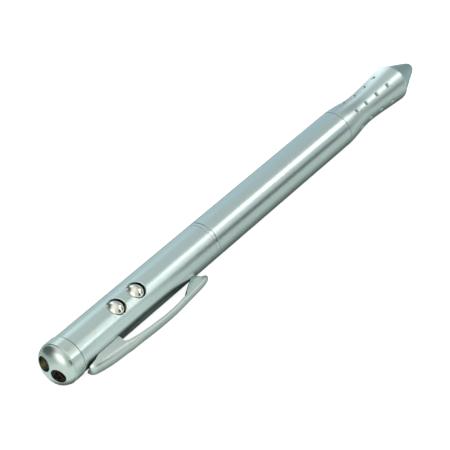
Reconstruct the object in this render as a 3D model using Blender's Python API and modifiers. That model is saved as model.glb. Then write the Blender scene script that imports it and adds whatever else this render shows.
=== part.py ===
"""Laser pointer pen: a twist-action ballpoint with a laser and a small lamp in its head.

The pen is drawn along its own axis: local X runs from the head to the nose and is zero at the
seam behind the head, local Z is the way the two buttons face, and local -Y the way the clip
faces. The whole pen is then laid on the ground, on its head collar, its flare and its clip.
Lengths are in metres.
"""

import math

import bmesh
import bpy
from mathutils import Matrix, Vector

# Counts of facets round a piece
outer_steps = 48
grip_steps = 36
inner_steps = 28
small_steps = 18
pin_steps = 12

# Clearances between pieces
slip = 0.0001          # between nested pieces and running faces
seam = 0.0001          # open hairline between two outer pieces
overrun = 0.0010       # how far a cutter runs past the material
sink = 0.0003          # how far a joined shape reaches into its carrier
roll_accuracy = 0.000001   # in radians

# Barrels
barrel_radius = 0.0050
barrel_wall = 0.0006
band_length = 0.0010   # visible width of the centre ring
twist_seam = 0.00012   # open line where the lower half turns
lower_length = 0.0557
barrel_bore = barrel_radius - barrel_wall

# Head cap
head_radius = 0.0052
collar_length = 0.0030
lip_round = 0.00012
dome_radius = 0.00495
dome_height = 0.0027
dome_power = 2.05
dome_rings = 7
head_bore = 0.0044
head_cavity = 0.0034   # depth of the cavity ahead of the seam
window_radius = 0.00172
emitter_offset = 0.0021

# Emitter holder, lamp and laser
holder_radius = 0.0043
holder_front = 0.0031
holder_back = 0.0030
lamp_radius = 0.0015
lamp_tip = 0.0048      # dome tip, ahead of the seam
lamp_flange_radius = 0.00175
lamp_flange_length = 0.0010
lamp_length = 0.0053
lead_radius = 0.0002
lead_spread = 0.0010
housing_radius = 0.00175
housing_bore = 0.00135
housing_front = 0.0032
housing_length = 0.0066
aperture_radius = 0.0009
aperture_wall = 0.0005
lens_radius = 0.00125
lens_thickness = 0.0010
lens_crown = 0.0004
diode_radius = 0.00125
diode_can_radius = 0.00100
diode_header = 0.0009
diode_length = 0.0028

# Circuit board and its carrier
board_front = 0.0042
board_half_width = 0.0030
board_thickness = 0.0008
chip_size = (0.0016, 0.0010, 0.00045)
chip_inset = 0.0021    # first chip behind the front peg
carrier_front = 0.0070
carrier_radius = 0.0042
bulkhead_gap = 0.0004  # behind the end of the board
bulkhead_thickness = 0.0006
bulkhead_hole = 0.0013
carrier_ledge = 0.0024
carrier_floor = 0.0032
carrier_solid_front = 0.0032
carrier_solid_back = 0.0024
pocket_gap = 0.0003    # round the end of the clip's tang
peg_radius = 0.0004
peg_inset = 0.0016
lead_length_on_board = 0.0022

# Push buttons and their switches
button_first = 0.0154
button_pitch = 0.00705
board_behind_buttons = 0.00515   # the board past the second button's axis
button_hole = 0.00215
button_radius = 0.0019
button_crown_top = 0.0058
button_crown_base = 0.0051
button_crown_rings = 5
flange_radius = 0.0025
flange_top = 0.00335
flange_thickness = 0.0005
stem_radius = 0.0007
stem_length = 0.0004
button_travel = 0.0004
switch_half_width = 0.0018
switch_height = 0.0014
well_radius = 0.00095
well_room = 0.00025    # under the plunger when its button is pressed
plunger_radius = 0.0008
plunger_length = 0.0008

# Pocket clip
clip_front = 0.0018
clip_length = 0.0402
clip_width = 0.00416
clip_rise = 0.00325    # shoulder's greatest height over the seat on the barrel
clip_crown = 0.00178   # greatest height of the rounded back over the shoulder
crown_points = 8
# Along the clip: share of its length, shoulder's share of the rise, the back's share of the
# crown, and the share of the half width
clip_back_shares = (
    (0, 0.2, 0.309, 0.361), (0.0075, 0.215, 0.534, 0.577), (0.0199, 0.231, 0.702, 0.745),
    (0.0398, 0.252, 0.843, 0.889), (0.0697, 0.292, 0.944, 0.976), (0.1045, 0.338, 1, 1),
    (0.1542, 0.406, 0.983, 1), (0.204, 0.48, 0.921, 0.986), (0.2537, 0.566, 0.831, 0.952),
    (0.291, 0.662, 0.73, 0.928), (0.3284, 0.748, 0.59, 0.904), (0.3781, 0.831, 0.461, 0.885),
    (0.4527, 0.926, 0.36, 0.865), (0.5149, 0.966, 0.337, 0.856), (0.5771, 0.982, 0.348, 0.808),
    (0.6517, 0.975, 0.371, 0.76), (0.7264, 0.929, 0.382, 0.721), (0.801, 0.868, 0.382, 0.692),
    (0.8507, 0.831, 0.382, 0.683), (0.9005, 0.785, 0.393, 0.673), (0.9403, 0.745, 0.393, 0.644),
    (0.9751, 0.702, 0.337, 0.505), (0.9925, 0.631, 0.281, 0.361), (1, 0.569, 0.197, 0.216),
)
# Along its underside: share of the length, height's share of the rise, and how much of the
# half width the underside keeps
clip_under_shares = (
    (0, 0.092, 1), (0.0199, 0.046, 1), (0.0448, 0, 1), (0.0771, -0.154, 1),
    (0.2607, -0.154, 1), (0.2617, 0.323, 1), (0.2662, 0.406, 1), (0.2724, 0.462, 1),
    (0.2836, 0.517, 1), (0.3035, 0.575, 1), (0.3532, 0.646, 1), (0.403, 0.714, 1),
    (0.4527, 0.745, 1), (0.5274, 0.809, 1), (0.602, 0.818, 1), (0.6766, 0.803, 1),
    (0.7512, 0.732, 1), (0.7886, 0.677, 0.97), (0.806, 0.569, 0.88), (0.8234, 0.431, 0.8),
    (0.8433, 0.292, 0.72), (0.8657, 0.169, 0.66), (0.8905, 0.046, 0.62), (0.908, -0.031, 0.6),
    (0.9453, -0.031, 0.6), (0.9577, 0.138, 0.62), (0.9677, 0.338, 0.68), (0.9851, 0.468, 0.8),
    (1, 0.523, 0.9),
)
tang_front = 0.0070
tang_length = 0.0046
tang_root = 0.0003     # how far the tang reaches into the clip
tang_half_width = 0.0010
tang_end = 0.0035
anchor_rim = 0.0012
anchor_thickness = 0.0006
anchor_half_width = 0.0018

# Battery
cell_radius = 0.00395
cell_height = 0.0036
cell_cap_radius = 0.0033
cell_cap_height = 0.00035
cell_round = 0.0003
cell_count = 3
sleeve_wall = 0.00025
spring_wire = 0.0002
spring_base_radius = 0.0030
spring_top_radius = 0.0014
spring_height = 0.0024
spring_turns = 2.5
points_per_turn = 10
contact_radius = 0.0036
contact_thickness = 0.0004
contact_pip_radius = 0.0010
contact_pip_height = 0.0003
contact_tail = 0.0012

# Centre coupler
front_spigot = 0.0050
front_spigot_radius = 0.0043
rear_spigot = 0.0055
rear_spigot_radius = 0.00425
seat_depth = 0.0044    # how deep the cam sleeve sits in the rear spigot
groove_offset = 0.0024
groove_width = 0.0010
groove_depth = 0.0004

# Twist mechanism
cam_radius = 0.0034
cam_bore = 0.00255
cam_length = 0.0192
guide_radius = 0.00425
guide_bore = 0.0036
guide_length = 0.0170
carrier_plug_radius = 0.0024
pin_radius = 0.0006
pin_half_length = 0.00405
slot_half_width = 0.00078
slot_cutter_radius = 0.0009
travel = 0.0045
twist_turn = math.pi
pin_from_coupler = 0.0032
plug_behind_pin = 0.0014
plug_ahead_of_pin = 0.0075
socket_depth = 0.0040
helix_points = 18

# Refill
refill_radius = 0.001175
refill_bore = 0.00085
nib_radius = 0.00105
nib_tail_radius = 0.00075
nib_tail = 0.0030
nib_length = 0.0078
nib_shoulder = 0.0052  # cone starts this far behind the ball
nib_step = 0.0034
nib_step_radius = 0.00078
ball_radius = 0.00035
ball_inset = 0.0010    # ball behind the nose end when the pen is closed

# Grip
grip_length = 0.02665
grip_neck_radius = 0.00404
grip_neck_at = 0.0118
grip_flare_radius = 0.00497
grip_flare_at = 0.0260
grip_edge_radius = 0.0048
grip_bore = 0.0026
grip_spigot = 0.0055
grip_spigot_radius = 0.0043
grip_wall_rings = 6
dimple_radius = 0.00052
dimple_depth = 0.00035
dimple_first = 0.0060
dimple_pitch = 0.00475
dimples_in_row = 4
dimple_rows = 6
dimple_turn = math.radians(16.0)   # the first row from the buttons' line

# Nose cone
nose_length = 0.0086
nose_base_radius = 0.0047
nose_shoulder_radius = 0.0016
nose_round = 0.00065
nose_face_radius = 0.00125
nose_bore = 0.00135
nose_hole = 0.00095
nose_hole_length = 0.0003
nose_taper = 0.0017
nose_spigot = 0.0038
nose_spigot_radius = 0.0031
nose_seam = 0.00005

# Stations along the pen that follow from the sizes above
board_top = board_thickness / 2
board_back = button_first + button_pitch + board_behind_buttons
bulkhead_front = board_back + bulkhead_gap
bulkhead_back = bulkhead_front + bulkhead_thickness
spring_start = bulkhead_back + slip + spring_wire
cells_start = spring_start + spring_height + spring_wire + slip
cells_end = cells_start + cell_count * cell_height + (cell_count - 1) * slip
contact_front = cells_end + slip + contact_pip_height
contact_back = contact_front + contact_thickness
coupler_front = contact_back + slip
ring_start = coupler_front + front_spigot
upper_length = ring_start - seam       # the head's seam to the centre ring
ring_end = ring_start + band_length
lower_start = ring_end + twist_seam
lower_end = lower_start + lower_length
grip_start = lower_end + seam
grip_end = grip_start + grip_length
nose_start = grip_end + nose_seam
nose_end = nose_start + nose_length
head_tip = -(collar_length + dome_height)
carrier_top = -(board_top + slip)
coupler_rear = ring_end + rear_spigot
cam_start = coupler_rear - seat_depth
pin_rest = coupler_rear + pin_from_coupler
nib_tip = nose_end - ball_inset
refill_front = nib_tip - nib_length
refill_rear = pin_rest + plug_ahead_of_pin - socket_depth + slip
switch_base = board_top + slip
switch_top = switch_base + switch_height
flange_base = flange_top - flange_thickness
stem_base = flange_base - stem_length
plunger_base = stem_base - slip - plunger_length
well_depth = switch_top - plunger_base + button_travel + well_room



def clip_reach(turn):
    """How far the clip's back reaches from the pen's axis, at a turn from -Y towards -Z."""
    furthest = 0
    for _, shoulder, crown, half in clip_back_shares:
        height = clip_seat + clip_rise * shoulder
        furthest = max(furthest, height * math.cos(turn)
                       + math.hypot(clip_crown * crown * math.cos(turn),
                                    clip_width / 2 * half * math.sin(turn)))
    return furthest


# How the pen lies: rolled until the clip's back is as low as the head collar
clip_seat = barrel_radius + slip
roll, roll_step = 0, math.pi / 4
while roll_step > roll_accuracy:
    roll_step /= 2
    if clip_reach(math.pi / 2 - roll - roll_step) < head_radius:
        roll += roll_step
clip_side_reach = clip_reach(-roll)
pen_place = Vector((-(head_tip + nose_end) / 2,
                    (clip_side_reach - head_radius) / 2,
                    head_radius))


def clear_scene():
    for obj in list(bpy.data.objects):
        bpy.data.objects.remove(obj, do_unlink=True)


def new_collection(name):
    made = bpy.data.collections.new(name)
    bpy.context.scene.collection.children.link(made)
    return made


def finish(name, colour, roughness, metallic):
    material = bpy.data.materials.new(name)
    material.use_nodes = True
    shader = material.node_tree.nodes["Principled BSDF"]
    shader.inputs["Base Color"].default_value = (*colour, 1.0)
    shader.inputs["Roughness"].default_value = roughness
    shader.inputs["Metallic"].default_value = metallic
    return material


def joint_axis(name, parent=None, place=(0, 0, 0)):
    """An empty on a joint's axis, which carries the pieces that move together."""
    made = bpy.data.objects.new(name, None)
    parts.objects.link(made)
    made.parent = parent
    made.location = place
    return made


def add(name, mesh, parent, look=None):
    """A named sub-part, or a tool for cutting and joining when it has no look."""
    obj = bpy.data.objects.new(name, mesh)
    obj.parent = parent
    if look is None:
        tools.objects.link(obj)
        obj.display_type = "WIRE"
        obj.hide_render = True
    else:
        parts.objects.link(obj)
        mesh.materials.append(look)
        mesh.shade_smooth()
    return obj


def turned(name, outer, parent, look=None, inner=(), steps=inner_steps, upright=False):
    """A turned piece: outer and inner are (station, radius) lists from the head end forward."""
    outline = list(reversed(outer)) + list(inner)
    mesh = bpy.data.meshes.new(name)
    points = [(radius, 0, station) for station, radius in outline]
    edges = [(i, i + 1) for i in range(len(points) - 1)]
    if inner:
        edges.append((len(points) - 1, 0))
    mesh.from_pydata(points, edges, [])
    obj = add(name, mesh, parent, look)
    if not upright:
        obj.rotation_euler = (0, math.pi / 2, 0)
    screw = obj.modifiers.new("turn", "SCREW")
    screw.steps = steps
    screw.render_steps = steps
    screw.use_merge_vertices = True
    screw.merge_threshold = 0.000001
    screw.use_smooth_shade = True
    return obj


def rod(name, radius, start, end, parent, look=None, steps=small_steps):
    """A cylinder between two points."""
    mesh = bpy.data.meshes.new(name)
    way = Vector(end) - Vector(start)
    turn = way.to_track_quat("Z", "Y").to_matrix().to_4x4()
    middle = Matrix.Translation((Vector(start) + Vector(end)) / 2)
    shape = bmesh.new()
    bmesh.ops.create_cone(shape, cap_ends=True, segments=steps, radius1=radius,
                          radius2=radius, depth=way.length, matrix=middle @ turn)
    shape.to_mesh(mesh)
    shape.free()
    return add(name, mesh, parent, look)


def block(name, low, high, parent, look=None):
    """A box between two corners."""
    mesh = bpy.data.meshes.new(name)
    low, high = Vector(low), Vector(high)
    size = Matrix.Diagonal((*(high - low), 1))
    shape = bmesh.new()
    bmesh.ops.create_cube(shape, size=1.0, matrix=Matrix.Translation((low + high) / 2) @ size)
    shape.to_mesh(mesh)
    shape.free()
    return add(name, mesh, parent, look)


def ball(name, radius, centre, parent, steps=8):
    mesh = bpy.data.meshes.new(name)
    shape = bmesh.new()
    bmesh.ops.create_uvsphere(shape, u_segments=steps, v_segments=steps - 2, radius=radius,
                              matrix=Matrix.Translation(centre))
    shape.to_mesh(mesh)
    shape.free()
    return add(name, mesh, parent)


def wire(name, points, radius, parent, look=None, resolution=1):
    """A round wire along points, as a closed mesh."""
    curve = bpy.data.curves.new(name, "CURVE")
    curve.dimensions = "3D"
    curve.bevel_depth = radius
    curve.bevel_resolution = resolution
    curve.use_fill_caps = True
    spline = curve.splines.new("POLY")
    spline.points.add(len(points) - 1)
    for point, place in zip(spline.points, points):
        point.co = (*place, 1)
    return meshed(name, curve, parent, look)


def meshed(name, curve, parent, look):
    """The curve's solid as a mesh object in the same place; the curve itself goes."""
    source = bpy.data.objects.new(name + "_curve", curve)
    tools.objects.link(source)
    graph = bpy.context.evaluated_depsgraph_get()
    mesh = bpy.data.meshes.new_from_object(source.evaluated_get(graph))
    shape = bmesh.new()
    shape.from_mesh(mesh)
    bmesh.ops.remove_doubles(shape, verts=shape.verts, dist=0.000001)
    bmesh.ops.recalc_face_normals(shape, faces=shape.faces)
    shape.to_mesh(mesh)
    shape.free()
    obj = add(name, mesh, parent, look)
    obj.matrix_basis = source.matrix_world.copy()
    bpy.data.objects.remove(source, do_unlink=True)
    return obj


def combine(target, tool, operation):
    step = target.modifiers.new(tool.name, "BOOLEAN")
    step.operation = operation
    step.solver = "EXACT"
    step.object = tool


def cut(target, *cutters):
    for cutter in cutters:
        combine(target, cutter, "DIFFERENCE")


def join(target, *extras):
    for extra in extras:
        combine(target, extra, "UNION")


def arc(centre, radius, start, end, count):
    """Points (x, y) on a circle from one angle to another, both ends included."""
    turns = [start + (end - start) * i / (count - 1) for i in range(count)]
    return [(centre[0] + radius * math.cos(a), centre[1] + radius * math.sin(a)) for a in turns]


def make_head_cap():
    dome = []
    for ring in range(dome_rings + 1):
        turn = math.pi / 2 * (1 - ring / dome_rings)
        ahead = dome_height * max(math.sin(turn), 0) ** (2 / dome_power)
        radius = dome_radius * max(math.cos(turn), 0) ** (2 / dome_power)
        dome.append((-collar_length - ahead, radius if ring else 0))
    lip = [(-collar_length, head_radius - lip_round), (-collar_length + lip_round, head_radius)]
    cavity_face = -head_cavity
    outer = dome + lip + [(0, head_radius), (0, head_bore), (cavity_face, head_bore),
                          (cavity_face, 0)]
    cap = turned("head_cap", outer, upper_half, satin_head, steps=outer_steps)
    for label, side in (("lamp", 1), ("laser", -1)):
        window = rod(label + "_window", window_radius,
                     (head_tip - overrun, side * emitter_offset, 0),
                     (cavity_face + overrun, side * emitter_offset, 0), upper_half)
        cut(cap, window)


def make_emitter_holder():
    holder = turned("emitter_holder",
                    [(-holder_front, 0), (-holder_front, holder_radius),
                     (holder_back, holder_radius), (holder_back, 0)],
                    upper_half, black_plastic, steps=inner_steps)
    flange_front = lamp_length - lamp_tip - lamp_flange_length
    bores = [("laser_bore", housing_radius + slip, -1, -holder_front - overrun),
             ("lamp_bore", lamp_radius + slip, 1, -holder_front - overrun),
             ("flange_bore", lamp_flange_radius + slip, 1, flange_front - slip)]
    for label, radius, side, start in bores:
        cut(holder, rod(label, radius, (start, side * emitter_offset, 0),
                        (holder_back + overrun, side * emitter_offset, 0), upper_half))


def make_lamp():
    lamp_axis = joint_axis("lamp_axis", upper_half, (0, emitter_offset, 0))
    back = lamp_length - lamp_tip
    flange_front = back - lamp_flange_length
    dome = [(lamp_radius - lamp_tip - x, r) for x, r in
            arc((0, 0), lamp_radius, 0, math.pi / 2, 6)]
    outer = [(x, 0 if i == 0 else r) for i, (x, r) in enumerate(dome)]
    outer += [(flange_front, lamp_radius), (flange_front, lamp_flange_radius),
              (back, lamp_flange_radius), (back, 0)]
    lamp = turned("led_lamp", outer, lamp_axis, clear_resin, steps=small_steps)
    lead_end = board_front + lead_length_on_board
    on_board = board_top + slip + lead_radius
    for label, side in (("upper", 1), ("lower", -1)):
        path = [(back - sink, 0, side * lead_spread), (back + sink, 0, side * lead_spread),
                (holder_back, 0, side * on_board), (lead_end, 0, side * on_board)]
        join(lamp, wire("lamp_lead_" + label, path, lead_radius, lamp_axis))


def make_laser():
    laser_axis = joint_axis("laser_axis", upper_half, (0, -emitter_offset, 0))
    front = -housing_front
    back = front + housing_length
    shelf = front + aperture_wall
    outer = [(front, aperture_radius), (front, housing_radius), (back, housing_radius)]
    inner = [(shelf, aperture_radius), (shelf, housing_bore), (back, housing_bore)]
    turned("laser_housing", outer, laser_axis, brass, inner=inner, steps=small_steps)
    lens_front = shelf + slip
    sag = (lens_radius ** 2 + lens_crown ** 2) / (2 * lens_crown)
    swing = math.asin(lens_radius / sag)
    crown = [(lens_front + x, r) for x, r in
             ((sag - sag * math.cos(swing * i / 4), sag * math.sin(swing * i / 4))
              for i in range(5))]
    crown[0] = (lens_front, 0)
    lens_back = lens_front + lens_thickness + lens_crown
    turned("laser_lens", crown + [(lens_back, lens_radius), (lens_back, 0)],
           laser_axis, lens_glass, steps=small_steps)
    header_front = back - diode_header
    can_front = back - diode_length
    diode = turned("laser_diode",
                   [(can_front, 0), (can_front, diode_can_radius),
                    (header_front, diode_can_radius), (header_front, diode_radius),
                    (back, diode_radius), (back, 0)],
                   laser_axis, nickel, steps=small_steps)
    on_board = board_top + slip + lead_radius
    lead_end = board_front + lead_length_on_board
    for label, side in (("upper", 1), ("lower", -1)):
        join(diode, rod("diode_lead_" + label, lead_radius, (back - sink, 0, side * on_board),
                        (lead_end, 0, side * on_board), laser_axis, steps=6))


def peg_places():
    return [carrier_front + peg_inset + lead_radius, bulkhead_front - peg_inset]


def make_board():
    board = block("circuit_board", (board_front, -board_half_width, -board_top),
                  (board_back, board_half_width, board_top), upper_half, board_green)
    for place in peg_places():
        cut(board, rod("peg_hole", peg_radius + slip, (place, 0, -board_top - overrun),
                       (place, 0, board_top + overrun), upper_half, steps=pin_steps))
    length, width, height = chip_size
    middle = button_first + button_pitch / 2
    for place, side in ((peg_places()[0] + chip_inset, 1), (middle, -1)):
        start = place - length / 2
        edge = side * board_half_width / 2
        join(board, block("chip", (start, edge - width / 2, board_top - sink),
                          (start + length, edge + width / 2, board_top + height), upper_half))


def make_board_carrier():
    carrier = turned("board_carrier",
                     [(carrier_front, 0), (carrier_front, carrier_radius),
                      (bulkhead_back, carrier_radius), (bulkhead_back, 0)],
                     upper_half, black_plastic, steps=inner_steps)
    reach = carrier_radius + overrun
    cut(carrier,
        block("carrier_above", (carrier_front - overrun, -reach, carrier_top),
              (bulkhead_front, reach, reach), upper_half),
        block("carrier_trough",
              (carrier_front + carrier_solid_front, -carrier_ledge, -carrier_floor),
              (bulkhead_front - carrier_solid_back, carrier_ledge, overrun), upper_half),
        block("carrier_clip_pocket",
              (carrier_front - overrun, -reach, -reach),
              (tang_front + tang_length + anchor_rim + slip, -tang_end + pocket_gap, reach),
              upper_half),
        rod("bulkhead_opening", bulkhead_hole, (bulkhead_front - overrun, 0, 0),
            (bulkhead_back + overrun, 0, 0), upper_half))
    for place in peg_places():
        join(carrier, rod("peg", peg_radius, (place, 0, carrier_top - sink),
                          (place, 0, board_top + peg_radius), upper_half, steps=pin_steps))


def button_stations():
    return [button_first, button_first + button_pitch]


def make_upper_barrel():
    start = seam
    barrel = turned("upper_barrel", [(start, barrel_radius), (upper_length, barrel_radius)],
                    upper_half, satin_metal,
                    inner=[(start, barrel_bore), (upper_length, barrel_bore)],
                    steps=outer_steps)
    for station in button_stations():
        cut(barrel, rod("button_hole", button_hole, (station, 0, flange_top),
                        (station, 0, barrel_radius + overrun), upper_half, steps=24))
    gap = slip
    cut(barrel, block("clip_slot",
                      (tang_front - gap, -barrel_radius - overrun, -tang_half_width - gap),
                      (tang_front + tang_length + gap, -tang_end, tang_half_width + gap),
                      upper_half))


def make_button(name, carrier):
    """A domed cap with a flange that keeps it in the barrel and a stem for its switch."""
    crown = []
    rise = button_crown_top - button_crown_base
    sag = (button_radius ** 2 + rise ** 2) / (2 * rise)
    swing = math.asin(button_radius / sag)
    for ring in range(button_crown_rings + 1):
        turn = swing * ring / button_crown_rings
        crown.append((button_crown_top - sag * (1 - math.cos(turn)), sag * math.sin(turn)))
    crown[0] = (button_crown_top, 0)
    outer = [(stem_base, 0), (stem_base, stem_radius), (flange_base, stem_radius),
             (flange_base, flange_radius), (flange_top, flange_radius),
             (flange_top, button_radius)] + list(reversed(crown))
    turned(name, outer, carrier, chrome, steps=20, upright=True)


def make_switch(name, station):
    half = switch_half_width
    switch = block(name, (station - half, -half, switch_base), (station + half, half, switch_top),
                   upper_half, black_plastic)
    cut(switch, rod(name + "_well", well_radius, (station, 0, switch_top - well_depth),
                    (station, 0, switch_top + overrun), upper_half, steps=pin_steps))


def make_plunger(name, carrier):
    top = stem_base - slip
    turned(name, [(plunger_base, 0), (plunger_base, plunger_radius),
                  (top, plunger_radius), (top, 0)], carrier, red_plastic,
           steps=pin_steps, upright=True)


def along_shares(shares, x):
    """The row between the table's rows at this share of the length."""
    after = next((i for i, row in enumerate(shares) if row[0] >= x and i), len(shares) - 1)
    first, second = shares[after - 1], shares[after]
    part = min(max((x - first[0]) / (second[0] - first[0]), 0), 1)
    return [a + (b - a) * part for a, b in zip(first, second)]


def clip_section(share):
    """The clip's section at a share of its length, as a ring of points in -Y and Z."""
    _, shoulder, crown, half = along_shares(clip_back_shares, share)
    _, under, kept = along_shares(clip_under_shares, share)
    x = clip_front + clip_length * share
    shoulder_height = clip_seat + clip_rise * shoulder
    under_height = clip_seat + clip_rise * under
    half_width = clip_width / 2 * half
    back = [(shoulder_height + clip_crown * crown * math.sin(math.pi * i / crown_points),
             half_width * math.cos(math.pi * i / crown_points)) for i in range(crown_points + 1)]
    middle = (shoulder_height + under_height) / 2
    sides = [(middle, -half_width), (under_height, -half_width * kept),
             (under_height, half_width * kept), (middle, half_width)]
    return [(x, -height, side) for height, side in back + sides]


def make_clip():
    stations = sorted({row[0] for row in clip_back_shares + clip_under_shares})
    rings = [clip_section(share) for share in stations]
    count = len(rings[0])
    faces = [tuple(range(count)), tuple(range((len(rings) - 1) * count, len(rings) * count))]
    for ring in range(len(rings) - 1):
        for i in range(count):
            j = (i + 1) % count
            faces.append((ring * count + i, ring * count + j,
                          (ring + 1) * count + j, (ring + 1) * count + i))
    mesh = bpy.data.meshes.new("pocket_clip")
    mesh.from_pydata([point for ring in rings for point in ring], [], faces)
    shape = bmesh.new()
    shape.from_mesh(mesh)
    bmesh.ops.recalc_face_normals(shape, faces=shape.faces)
    shape.to_mesh(mesh)
    shape.free()
    clip = add("pocket_clip", mesh, upper_half, satin_clip)
    cut(clip, rod("clip_saddle", clip_seat, (-overrun, 0, 0),
                  (clip_front + 2 * clip_length, 0, 0), upper_half, steps=outer_steps))
    join(clip, block("clip_tang", (tang_front, -barrel_radius - tang_root,
                                   -tang_half_width),
                     (tang_front + tang_length, -tang_end, tang_half_width), upper_half))
    anchor_outer = math.sqrt(barrel_bore ** 2 - anchor_half_width ** 2) - slip
    anchor = block("clip_anchor",
                   (tang_front - anchor_rim, -anchor_outer, -anchor_half_width),
                   (tang_front + tang_length + anchor_rim, -anchor_outer + anchor_thickness,
                    anchor_half_width), upper_half, steel)
    cut(anchor, block("anchor_slot", (tang_front - slip, -barrel_radius, -tang_half_width - slip),
                      (tang_front + tang_length + slip, 0, tang_half_width + slip), upper_half))


def make_battery():
    sleeve_radius = cell_radius + slip + sleeve_wall
    sleeve_bore = cell_radius + slip
    sleeve_start = bulkhead_back + slip
    turned("battery_sleeve", [(sleeve_start, sleeve_radius), (contact_back, sleeve_radius)],
           upper_half, white_plastic,
           inner=[(sleeve_start, sleeve_bore), (contact_back, sleeve_bore)])
    coil = []
    count = int(spring_turns * points_per_turn)
    for i in range(count + 1):
        share = i / count
        turn = 2 * math.pi * spring_turns * share
        radius = spring_base_radius + (spring_top_radius - spring_base_radius) * share
        coil.append((spring_start + spring_height * share,
                     -radius * math.sin(turn), radius * math.cos(turn)))
    wire("battery_spring", coil, spring_wire, upper_half, nickel)
    least = min((Vector(a) - Vector(b)).length for i, a in enumerate(coil)
                for b in coil[i + points_per_turn // 2:])
    print("battery spring, least gap between turns in mm:",
          round((least - 2 * spring_wire) * 1000, 2))
    for number in range(cell_count):
        start = cells_start + number * (cell_height + slip)
        end = start + cell_height
        outer = [(start, 0), (start, cell_cap_radius),
                 (start + cell_cap_height, cell_cap_radius),
                 (start + cell_cap_height, cell_radius - cell_round),
                 (start + cell_cap_height + cell_round, cell_radius),
                 (end - cell_round, cell_radius), (end, cell_radius - cell_round), (end, 0)]
        turned("button_cell_" + str(number + 1), outer, upper_half, nickel, steps=20)
    turned("battery_contact",
           [(contact_front - contact_pip_height, 0),
            (contact_front - contact_pip_height, contact_pip_radius),
            (contact_front, contact_pip_radius), (contact_front, contact_radius),
            (contact_back, contact_radius), (contact_back, contact_pip_radius),
            (contact_back + contact_tail, contact_pip_radius), (contact_back + contact_tail, 0)],
           upper_half, nickel, steps=20)


def make_coupler():
    """The ring between the two halves, with a spigot into each barrel."""
    face = coupler_front
    well = face + contact_tail + 2 * slip
    seat = cam_start - slip
    groove = ring_end + groove_offset
    outer = [(face, contact_pip_radius + slip), (face, front_spigot_radius),
             (ring_start, front_spigot_radius), (ring_start, barrel_radius),
             (ring_end, barrel_radius), (ring_end, rear_spigot_radius),
             (groove, rear_spigot_radius), (groove, rear_spigot_radius - groove_depth),
             (groove + groove_width, rear_spigot_radius - groove_depth),
             (groove + groove_width, rear_spigot_radius), (coupler_rear, rear_spigot_radius),
             (coupler_rear, cam_radius + slip), (seat, cam_radius + slip), (seat, 0)]
    turned("centre_coupler", [(well, 0), (well, contact_pip_radius + slip)] + outer,
           upper_half, bright_metal, steps=outer_steps)
    turned("friction_ring",
           [(groove + slip, barrel_bore - slip), (groove + groove_width - slip,
                                                  barrel_bore - slip)],
           upper_half, white_plastic,
           inner=[(groove + slip, rear_spigot_radius - groove_depth + slip),
                  (groove + groove_width - slip, rear_spigot_radius - groove_depth + slip)])


def helix(turn_share, start_turn):
    """A point on the cam slot's middle line; 0 is the pen closed and 1 the pen open."""
    radius = (cam_radius + cam_bore) / 2
    turn = start_turn + twist_turn * turn_share
    return (pin_rest + travel * turn_share, -radius * math.sin(turn), radius * math.cos(turn))


def make_cam_sleeve():
    """Turning the lower half drags the drive pin along two helical slots in this sleeve."""
    cam = turned("cam_sleeve", [(cam_start, cam_radius), (cam_start + cam_length, cam_radius)],
                 upper_half, brass,
                 inner=[(cam_start, cam_bore), (cam_start + cam_length, cam_bore)])
    mean_radius = (cam_radius + cam_bore) / 2
    run = math.hypot(twist_turn * mean_radius, travel)
    past = slot_half_width / run
    for label, start_turn in (("first", 0), ("second", math.pi)):
        path = [helix(-past + (1 + 2 * past) * i / helix_points, start_turn)
                for i in range(helix_points + 1)]
        cut(cam, wire("cam_slot_" + label, path, slot_cutter_radius, upper_half))


def make_guide_tube():
    start = coupler_rear + seam + slip
    guide = turned("guide_tube", [(start, guide_radius), (start + guide_length, guide_radius)],
                   lower_half, nickel,
                   inner=[(start, guide_bore), (start + guide_length, guide_bore)])
    reach = guide_radius + overrun
    cut(guide, block("guide_slots", (pin_rest - slot_half_width, -slot_half_width, -reach),
                     (pin_rest + travel + slot_half_width, slot_half_width, reach),
                     lower_half))


def make_lower_barrel():
    turned("lower_barrel", [(lower_start, barrel_radius), (lower_end, barrel_radius)],
           lower_half, satin_metal,
           inner=[(lower_start, barrel_bore), (lower_end, barrel_bore)], steps=outer_steps)


def grip_radius_at(x):
    """The waisted grip: a cosine fall to the neck, then a rise to the flare."""
    if x < grip_neck_at:
        share = (1 - math.cos(math.pi * x / grip_neck_at)) / 2
        return barrel_radius + (grip_neck_radius - barrel_radius) * share
    share = min((x - grip_neck_at) / (grip_flare_at - grip_neck_at), 1)
    blend = 0.7 * share ** 1.5 + 0.3 * (1 - math.cos(math.pi * share)) / 2
    return grip_neck_radius + (grip_flare_radius - grip_neck_radius) * blend


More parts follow.
